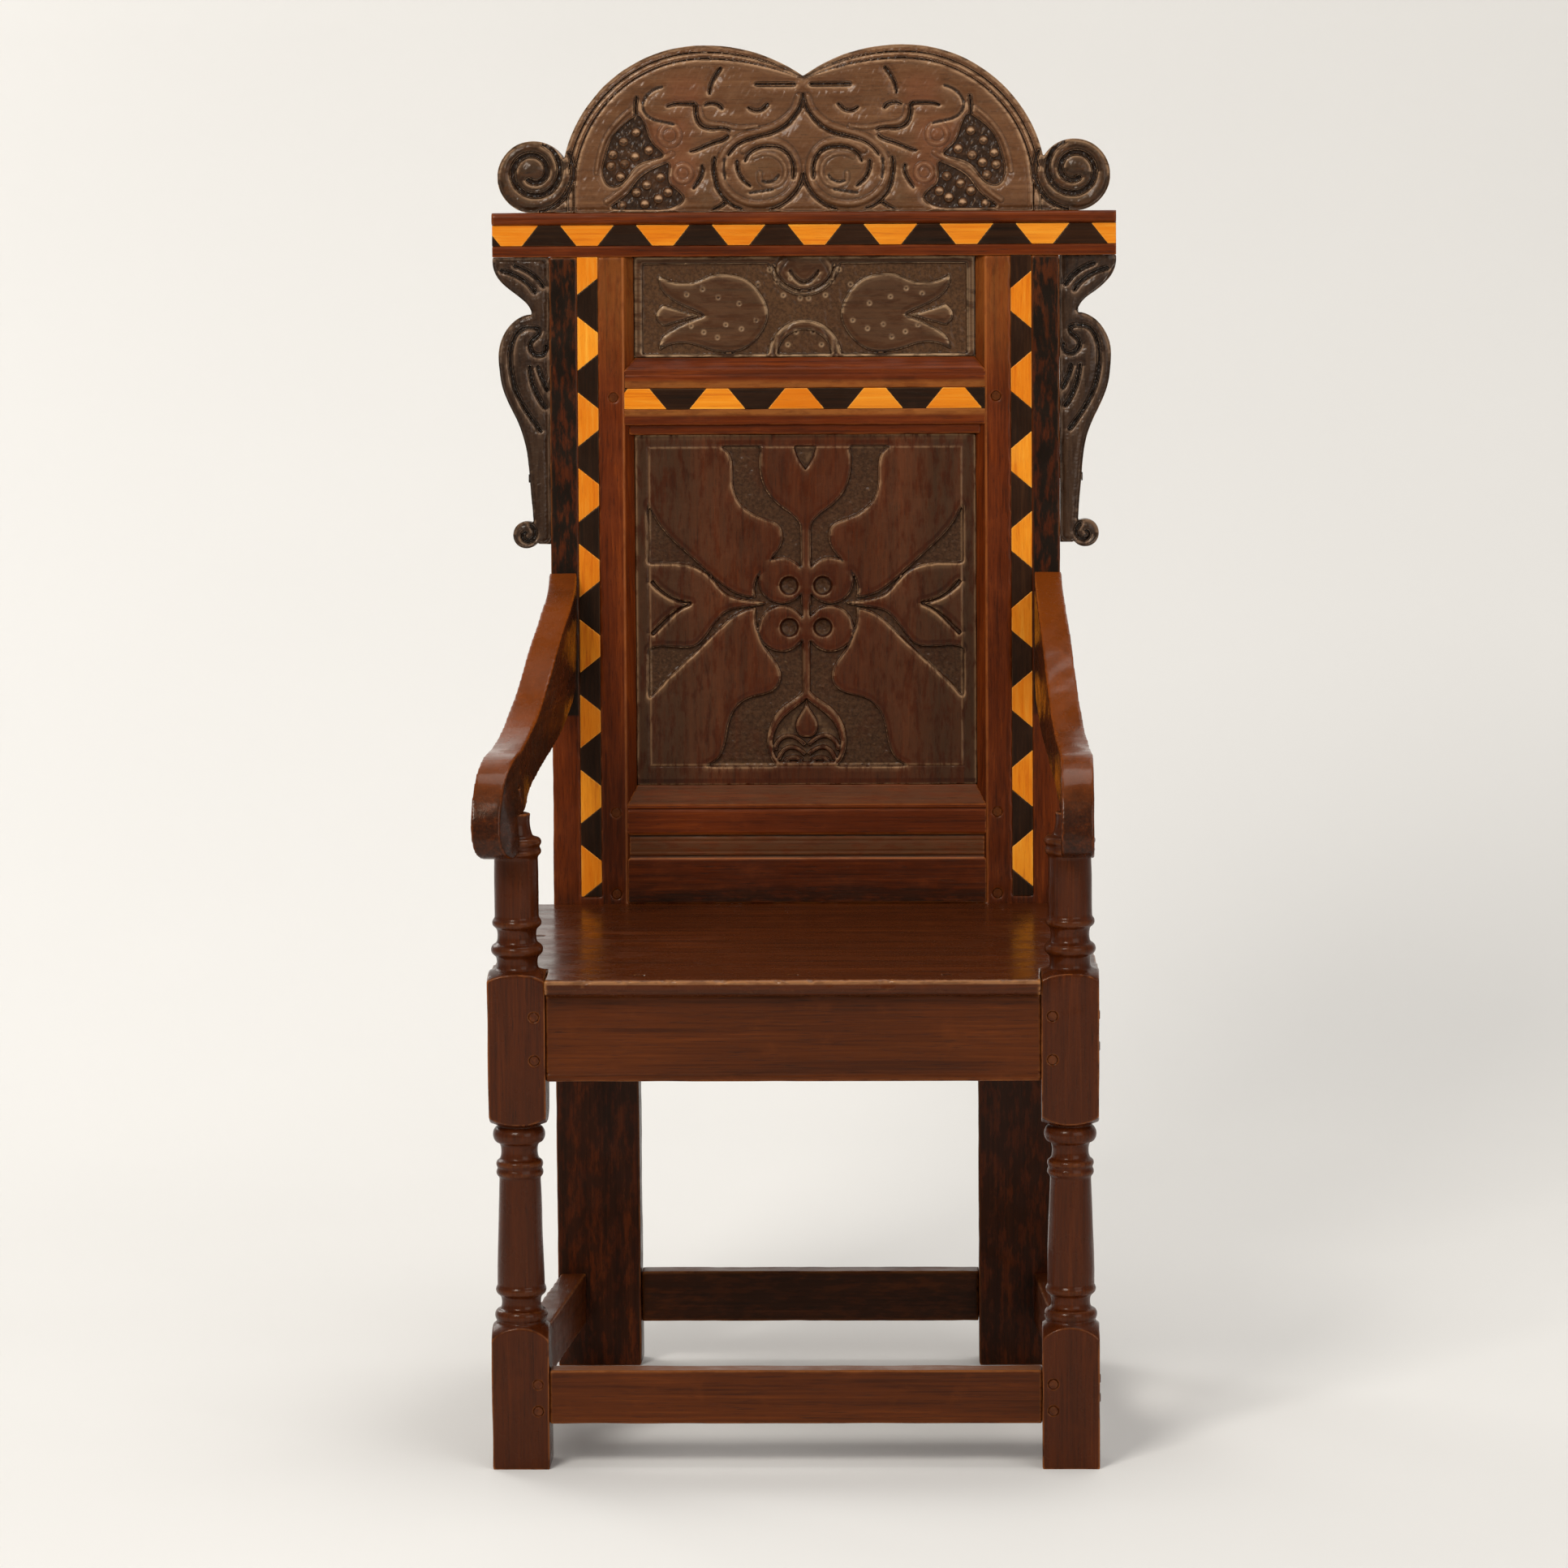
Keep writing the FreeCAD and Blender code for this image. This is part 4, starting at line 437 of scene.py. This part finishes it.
def carved(front, deepest, seed, swell=0.0018, ridge=0.0005, rough=0.00025, step=0.001, level=0.0,
           punches=(), dishes=(), cords=(), dull=0.0, bright_from=1.0, frame_line=None):
    """Makes the dressing of a carved face whose channels go down to the deepest.

    Swell is how far the shapes are rounded towards the channels, ridge how high their edge lines
    stand, rough how rough the ground is, and step the cell of the depth map. Faces down to the
    level count as raised. Punches are marks (x, up), dishes are hollows (out, up, radius, depth)
    and cords are raised lines (half width, height, points (out, up)), the last two alike on both
    sides of the middle. Up is from the seat. The edge lines are duller by a share in the middle
    than from a distance out, and a frame line (out, low, high) may be scored round the field."""
    def dress(mesh, co, normals, tree):
        low, high = co.min(0), co.max(0)
        side, up = co[:, 0], co[:, 2] - seat_top
        out = np.abs(side)
        depths = depth_map(tree, front, low[0], high[0], low[2], high[2], step, deepest)
        raised = 1 - np.maximum(depths - level, 0) / (deepest - level)
        near, far = blurred(raised, narrow_blur / step), blurred(raised, wide_blur / step)
        slope = np.gradient(near, axis=0)
        u, v = (co[:, 0] - low[0]) / step, (co[:, 2] - low[2]) / step
        here, close, wide, falling = (sampled(grid, u, v) for grid in (raised, near, far, slope))
        facing = np.clip(-normals[:, 1] * 1.6 - 0.4, 0, 1) * (co[:, 1] < front + face_reach)

        # The shapes fall away towards the channels, and a line stands up along their edges.
        edge_line = bell(close - 0.86, 0.10) * np.clip(here * 2 - 1, 0, 1)
        broad = np.clip((wide - 0.50) / 0.20, 0, 1)
        rise = (ridge * edge_line - swell * (1 - wide) * here * broad
                - edge_drop * (1 - close) * here)
        chips = uneven(co, seed + 1, rough, waves=14, shortest=0.003, longest=0.009)
        rise += chips * (0.35 + 0.65 * (1 - here))

        # Rim is how pale an edge is, from wear and painted highlight: narrow shapes get painted
        # highlight, edges that face up are painted brighter and those that face down darker. Beside
        # is how near a wall is; it darkens the wood there with painted shade and dirt.
        rim = np.maximum(edge_line, 1.2 * here * np.clip((0.60 - wide) / 0.12, 0, 1))
        rim *= 1 - dull + dull * np.clip(out / bright_from, 0, 1) ** 2
        rim *= np.clip(0.6 - 0.6 * falling / full_fall, 0.1, 1.1)
        beside = (1 - close) * here + close * (1 - here)

        for mark_x, mark_up in punches:
            away = np.hypot(side - mark_x, up - mark_up)
            rise += 0.0005 * bell(away - 0.0021, 0.0007) - 0.0009 * bell(away, 0.0013)
            rim = np.maximum(rim, 0.8 * bell(away - 0.0018, 0.0009))
        for dish_out, dish_up, radius, deep in dishes:
            rise -= deep * bell(np.hypot(out - dish_out, up - dish_up), radius) * here
        # Cords: painted highlight on the crown and painted shade on the flanks, besides their
        # height.
        for half, tall, points in cords:
            away = away_from(rounded(points), out, up)
            crown = bell(away, 0.6 * half) * here
            flank = bell(away - half, 0.32 * half) * here
            rise += tall * (crown - 0.8 * flank)
            rim = np.maximum(rim, 0.42 * crown ** 3)
            beside = np.maximum(beside, 0.26 * flank)
        if frame_line:
            field, foot, head = frame_line
            away = np.maximum(out - field, np.maximum(foot - up, up - head))
            rise += 0.0005 * bell(away + 0.0010, 0.0008) - 0.0008 * bell(away, 0.0008)
            rim = np.maximum(rim, 0.5 * bell(away + 0.0012, 0.0010))

        co = co.copy()
        co[:, 1] -= rise * facing
        for name, values in (("relief", here * facing + (1 - facing)), ("rim", rim * facing),
                             ("beside", beside * facing)):
            layer = mesh.attributes.new(name, "FLOAT", "POINT")
            layer.data.foreach_set("value", values.astype(np.float32))
        return co
    return dress


def scored(lines):
    """Makes the dressing of a rail: scratch-stock lines (height, half width, depth) along X."""
    def dress(mesh, co, normals, tree):
        cut = np.zeros(len(co))
        for height, half, deep in lines:
            cut = np.maximum(cut, deep * bell(co[:, 2] - height, half))
        co = co.copy()
        co[:, 1] += cut * np.clip(-normals[:, 1], 0, 1)
        return co
    return dress


def chipped(edge, reach=0.004, deep=0.0011):
    """Makes the dressing of the seat: small chips and dents along its front edge."""
    def dress(mesh, co, normals, tree):
        near = bell(np.maximum(co[:, 1] - edge, 0), reach)
        top = bell(co[:, 2] - seat_top, reach)
        waves = uneven(co, 401, 1.0, waves=12, shortest=0.006, longest=0.03)
        bites = np.maximum(waves - 0.6, 0) * deep
        co = co.copy()
        co[:, 1] += bites * near * (0.4 + top)
        co[:, 2] -= bites * near * top
        return co
    return dress


# The chair's pieces

# How far the carved boards stand behind the stiles' front
panel_front = back_front + 0.012
crest_front = back_front + 0.003
ear_front = back_front + 0.007

# Regions of tint, in metres: out from the middle from and to, over the floor from and to,
# share, tint and how softly it ends. Shades are for the faces to the front, stains for all.
# Besides real tints and wear, some paint shade, shadow, sheen and highlight, as noted at each.
# The grey tint paints sheen on the bottom rail.
grey_sheen = srgb(88, 60, 38)
# The rubbed tan paints highlight with some rubbed wear on the mid rail, and pales the stiles' tops.
rubbed_and_highlight = srgb(168, 104, 46)
arris = srgb(176, 98, 42)
worn_edge = srgb(168, 122, 84)
reddish = srgb(116, 62, 36)
greenish = srgb(84, 62, 40)
# On the stiles' front: a worn arris line, painted shade darker towards the seat, paler towards the
# top, and a dark outer strip from the arm up.
stile_shades = ((0.1712, 0.1734, 0.45, 1.2, 0.45, arris, 0.0006),
                (0.10, 0.2165, 0.30, 0.58, 0.42, black, 0.09),
                (0.10, 0.2165, 0.98, 1.30, 0.30, rubbed_and_highlight, 0.06),
                (0.2165, 0.30, 0.63, 1.20, 1.00, black, 0.0015))
arm_low, arm_high = (corner[2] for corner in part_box("arm_left"))
# Painted shade on the arm's scroll end, where it turns under, and darker towards the back end.
arm_stains = ((-1, 1, arm_low - 0.05, arm_low + 0.080, 0.60, black, 0.014),
              (-1, 1, arm_high - 0.035, arm_high + 0.05, 0.40, black, 0.020))
# Painted shadow under the seat, all round the back legs.
stile_stains = ((0.10, 0.30, -0.10, 0.445, 0.82, black, 0.030),)
# On the bottom rail's front: painted sheen on the moulded band and the top bevel, painted shadow
# towards the seat, painted shade in the scored lines with pale lines at their edges, and a worn
# arris on the bevel.
bottom_rail_shades = ((-1, 1, 0.4925, 0.5165, 0.62, grey_sheen, 0.0012),
                      (-1, 1, 0.5450, 0.5700, 0.45, grey_sheen, 0.0012),
                      (-1, 1, 0.4000, 0.4920, 0.40, black, 0.002),
                      (-1, 1, 0.4000, 0.4640, 0.75, black, 0.012),
                      (-1, 1, 0.5138, 0.5152, 0.85, black, 0.0004),
                      (-1, 1, 0.5160, 0.5170, 0.60, arris, 0.0004),
                      (-1, 1, 0.4950, 0.4962, 0.85, black, 0.0004),
                      (-1, 1, 0.4926, 0.4936, 0.60, arris, 0.0004),
                      (-1, 1, 0.5438, 0.5450, 0.45, arris, 0.0005),
                      (-1, 1, 0.5404, 0.5412, 0.80, black, 0.0004))
# Painted highlight, with some rubbed wear, on the flat strips under and over the mid rail's inlay.
mid_rail_shades = ((-1, 1, 0.9155, 0.9215, 0.55, rubbed_and_highlight, 0.0020),
                   (-1, 1, 0.9410, 0.9480, 0.45, rubbed_and_highlight, 0.0025))
panel_field = (0.150, 0.131, 0.4365)
panel_shades = ((0.150, 0.20, 0.5, 1.0, 0.60, black, 0.0015),
                (0.112, 0.150, 0.5, 1.0, 0.58, black, 0.018))
for side, seed in (("left", 1.0), ("right", 2.0)):
    number = int(seed)
    worked("front_leg_" + side, 0.0012, 3, oak("leg", 2, seed), number)
    stile_oak = oak("stile", 2, seed, shades=stile_shades, stains=stile_stains)
    worked("back_stile_" + side, 0.0014, 4, stile_oak, 10 + number)
    worked("arm_" + side, 0.0013, 4, oak("arm", 1, seed, stains=arm_stains), 20 + number)
    worked("seat_rail_" + side, 0.0018, 4, oak("rail", 1, seed), 30 + number)
    worked("stretcher_" + side, 0.0018, 4, oak("rail", 1, seed + 2), 40 + number)
    worked("ear_bracket_" + side, 0.0008, 2, oak("ear", 2, seed), 50 + number,
           leaning=True, dress=carved(ear_front, 0.0036, 50 + number, rough=0.0004, step=0.0008,
                                      swell=0.0080))

worked("seat_rail_front", 0.0014, 4, oak("rail", 0, 3.0), 61)
worked("seat_rail_back", 0.002, 4, oak("rail", 0, 4.0), 62)
worked("stretcher_front", 0.0014, 4, oak("rail", 0, 5.0, tops=0.5), 63)
# The back stretcher's front is darkened with painted shadow from the seat.
worked("stretcher_back", 0.002, 4, oak("rail", 0, 6.0, shades=((-1, 1, 0, 1, 0.7, black, 0.001),)),
       64)
seat_stains = ((-1, 1, 0.4458, 0.4490, 0.50, worn_edge, 0.0006),)
worked("seat_board", 0.0018, 3, oak("seat", 0, 1.0, stains=seat_stains), 65,
       reach=0.00007, dress=chipped(seat_front))

# Places on the upright boards are up from the seat and out from the middle, in millimetres.
bottom_reeds = [(seat_top + up / 1000, half / 1000, deep / 1000) for up, half, deep in (
    (45.5, 1.3, 1.0), (50.0, 1.0, 0.5), (60.0, 1.0, 0.5), (64.8, 1.3, 1.0), (90.6, 1.1, 1.1),
    (94.0, 0.8, 0.6))]
worked("bottom_rail", 0.0009, 2, oak("stile", 0, 3.0, shades=bottom_rail_shades), 66,
       leaning=True, dress=scored(bottom_reeds))
worked("mid_rail", 0.0011, 2, oak("stile", 0, 4.0, shades=mid_rail_shades), 67,
       leaning=True, dress=scored([(seat_top + 0.5055, 0.0009, 0.0010)]))
worked("top_rail", 0.0013, 3, oak("stile", 0, 5.0), 68, leaning=True)
worked("lower_panel", 0.0009, 2, oak("panel", 2, 1.0, shades=panel_shades), 69,
       leaning=True, dress=carved(panel_front, 0.0045, 70, dull=0.55, bright_from=0.09,
                                  frame_line=panel_field))
punch_marks = [(side * x / 1000, up / 1000) for side in (-1, 1) for x, up in (
    (13, 596), (26, 593), (33, 604), (4, 577), (20, 580), (60, 548), (75, 552), (82, 578),
    (62, 572), (97, 586), (112, 581), (108, 551), (96, 545), (83, 540), (8, 545), (16, 533),
    (44, 590), (46, 556))]


def half_ring(radius, centre, over):
    """A ring's points (out, up) from an eighth of a turn under (or over) its side to the middle."""
    turns = [math.pi * step / 12 for step in range(-3, 7)]
    return [(radius * math.cos(turn), centre + over * radius * math.sin(turn)) for turn in turns]


# Each cord: half its width, its height and its points (out, up)
panel_cords = [(0.0038, 0.0011, half_ring(0.027, 0.5335, 1)),
               (0.0036, 0.0009, half_ring(0.028, 0.5945, -1))]
worked("upper_panel", 0.0009, 2, oak("carved", 0, 3.0), 71, leaning=True,
       dress=carved(panel_front, 0.003, 72, punches=punch_marks, cords=panel_cords))
crest_dishes = [(x / 1000, up / 1000, radius / 1000, deep / 1000) for x, up, radius, deep in (
    (36, 697, 17, 1.5), (33, 691, 5, -1.2), (90, 751, 9, 1.1), (45, 768, 11, -0.8),
    (110, 742, 9, 1.0), (62, 748, 8, -0.6), (127, 732, 8, -0.9), (114, 696, 7, -0.9),
    (200, 700, 12, 0.9), (110, 782, 13, 0.9), (5, 700, 12, 1.0), (94, 690, 7, 1.2))]
crest_cords = [(half / 1000, high / 1000, [(x / 1000, up / 1000) for x, up in points])
               for half, high, points in (
    (3.9, 1.1, ((3.8, 768.0), (7.1, 757.8), (12.3, 751.0), (19.0, 745.1), (26.9, 740.4),
                (37.1, 737.1), (47.4, 734.4), (57.7, 730.9), (67.1, 725.4), (74.9, 717.5),
                (79.5, 708.0), (80.3, 698.5), (78.2, 689.0), (73.0, 680.3), (64.8, 672.9),
                (54.5, 668.2), (42.7, 666.4), (31.6, 667.7), (21.3, 671.6), (13.0, 678.3),
                (7.1, 687.4), (5.2, 697.7), (6.6, 708.0), (11.4, 717.1), (19.0, 723.8),
                (29.2, 726.9), (39.5, 726.6), (49.0, 723.5), (56.9, 717.8))),
    (2.6, 0.8, ((47.4, 711.1), (39.5, 714.6), (30.0, 714.3), (22.1, 709.9), (17.1, 702.5),
                (16.7, 693.8), (21.3, 686.2), (29.2, 682.7), (37.1, 684.0), (41.9, 689.3),
                (41.4, 695.7))),
    (2.7, 0.8, ((98.3, 757.8), (97.6, 751.4), (94.8, 746.2), (89.3, 743.1), (81.4, 742.3),
                (72.7, 741.2), (63.2, 738.8), (53.7, 738.9), (44.2, 739.9))),
    (3.0, 0.7, ((124.8, 714.6), (134.3, 709.2), (146.2, 704.2), (158.5, 696.4), (168.4, 685.1),
                (177.8, 676.1), (187.2, 669.7))),
    (2.4, 0.7, ((162.7, 757.3), (173.8, 748.7), (186.4, 733.6), (194.0, 715.9), (196.9, 696.9))),
    (3.0, 0.6, ((136.7, 730.9), (134.6, 738.3), (128.0, 742.4), (120.7, 739.9), (117.2, 732.5),
                (119.8, 725.0), (126.7, 722.2), (133.7, 725.0), (136.7, 730.9))),
    (2.8, 0.6, ((122.9, 695.7), (120.7, 702.0), (114.4, 704.8), (108.4, 702.0), (106.2, 695.7),
                (108.7, 690.0), (114.4, 687.4), (120.4, 690.0), (122.9, 695.7))),
)]
crest_shades = ((0.2225, 0.31, 1.0, 1.3, 0.85, black, 0.004),
                (0.108, 0.146, 1.163, 1.197, 0.50, reddish, 0.010),
                (0.098, 0.130, 1.128, 1.162, 0.50, reddish, 0.010),
                (0.096, 0.128, 1.206, 1.236, 0.45, reddish, 0.010),
                (0.020, 0.055, 1.120, 1.165, 0.35, greenish, 0.010),
                (0.084, 0.100, 1.110, 1.165, 0.35, greenish, 0.008))
worked("cresting", 0.0008, 2, oak("crest", 0, 4.0, shades=crest_shades), 73,
       leaning=True, dress=carved(crest_front, 0.0028, 74, swell=0.0090, ridge=0.0006, rough=0.0004,
                                  step=0.0008, level=0.0011, dishes=crest_dishes,
                                  cords=crest_cords))

for run, along in (("top", 0), ("mid", 0), ("left", 2), ("right", 2)):
    for tone, seed in (("pale", 1.0), ("dark", 2.0)):
        worked("inlay_%s_%s" % (run, tone), 0.0007, 2, oak(tone, along, seed),
               80 + along + int(seed), leaning=True, reach=0.00004)

# Pegs, dowels and nails keep their CAD solids, with materials of their own
for node, material in (("ear_nails", iron()),
                       ("cresting_dowels", oak("peg", 2, 1.0)),
                       ("pegs_seat", oak("peg", 2, 2.0)),
                       ("pegs_side", oak("leg", 0, 5.0, wear=0.2)),
                       ("pegs_front", oak("leg", 1, 4.0, wear=0.2)),
                       ("pegs_arm", oak("peg", 0, 3.0)),
                       ("pegs_back", oak("rail", 1, 6.0, wear=0.2))):
    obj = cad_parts[node]
    obj.data.materials.clear()
    obj.data.materials.append(material)


# Studio

def sweep():
    """Floor and backdrop: one pale sheet that sweeps up behind the chair. Its outer side lets rays
    through, so that the chair can be seen from behind."""
    half_width, near, far, high, bend, bend_steps = 24.0, -24.0, 2.6, 7.0, 1.2, 16
    profile = [(near, 0.0), (far - bend, 0.0)]
    for step in range(1, bend_steps + 1):
        angle = math.pi / 2 * step / bend_steps
        profile.append((far - bend + bend * math.sin(angle), bend - bend * math.cos(angle)))
    profile.append((far, high))
    vertices = [(x, y, z) for x in (-half_width, half_width) for y, z in profile]
    count = len(profile)
    faces = [(i, count + i, count + i + 1, i + 1) for i in range(count - 1)]
    mesh = bpy.data.meshes.new("studio_sweep")
    mesh.from_pydata(vertices, [], faces)
    mesh.shade_smooth()
    tree = Tree("studio_paper")
    place = tree.add("TexCoord").outputs["Object"]
    cloud = tree.noise(place, 1.5, 2.0, 0.5)
    colour = tree.mix(cloud, (0.80, 0.79, 0.77, 1), (0.84, 0.83, 0.81, 1))
    paper = tree.add("BsdfPrincipled", {
        "Base Color": colour, "Roughness": 0.85, "Specular IOR Level": 0.2})
    outer = tree.add("NewGeometry").outputs["Backfacing"]
    both = tree.add("MixShader", {0: outer, 1: paper.outputs[0],
                                  2: tree.add("BsdfTransparent").outputs[0]})
    mesh.materials.append(tree.finish(both))
    obj = object_of("studio_sweep", mesh)


sweep()


def lamp(name, place, target, size, power, colour):
    """A soft lamp that shines from its place at the target and isn't seen itself."""
    light = bpy.data.lights.new(name, "AREA")
    light.shape = "RECTANGLE"
    light.size, light.size_y = size
    light.energy = power
    light.color = colour
    obj = object_of(name, light)
    obj.location = place
    obj.rotation_euler = (Vector(target) - Vector(place)).to_track_quat("-Z", "Y").to_euler()
    obj.visible_camera = False


middle = (0, 0, 0.7)
lamp("key_light", (-1.7, -3.8, 3.5), middle, (1.4, 1.4), 128, (1.0, 0.96, 0.90))
lamp("fill_light", (2.6, -3.6, 1.9), middle, (2.6, 2.6), 47, (1.0, 0.97, 0.94))
lamp("top_light", (0.3, 0.2, 4.2), middle, (2.4, 2.4), 55, (1.0, 0.98, 0.95))
lamp("back_light", (-2.0, 2.1, 1.9), middle, (1.2, 1.2), 22, (1.0, 0.98, 0.95))

world = bpy.data.worlds.new("studio")
world.use_nodes = True
background = world.node_tree.nodes["Background"]
background.inputs["Color"].default_value = (1.0, 0.985, 0.96, 1)
background.inputs["Strength"].default_value = 0.31
bpy.context.scene.world = world
bpy.context.scene.view_settings.view_transform = "Standard"

# Camera, placed as it stood for the photograph (its lens is in millimetres)
camera = object_of("camera", bpy.data.cameras.new("camera"))
camera.data.sensor_width = 36.0
camera.data.lens = 169.1
camera.data.shift_x = -0.0328
pitch, yaw, roll = 0.1324, -0.0264, -0.0066
camera.location = (0.2115, seat_front - 6.4966, 1.4921)
camera.rotation_euler = (Matrix.Rotation(-yaw, 3, "Z")
                         @ Matrix.Rotation(math.pi / 2 - pitch, 3, "X")
                         @ Matrix.Rotation(roll, 3, "Z")).to_euler()
camera.data.clip_end = 60
bpy.context.scene.camera = camera
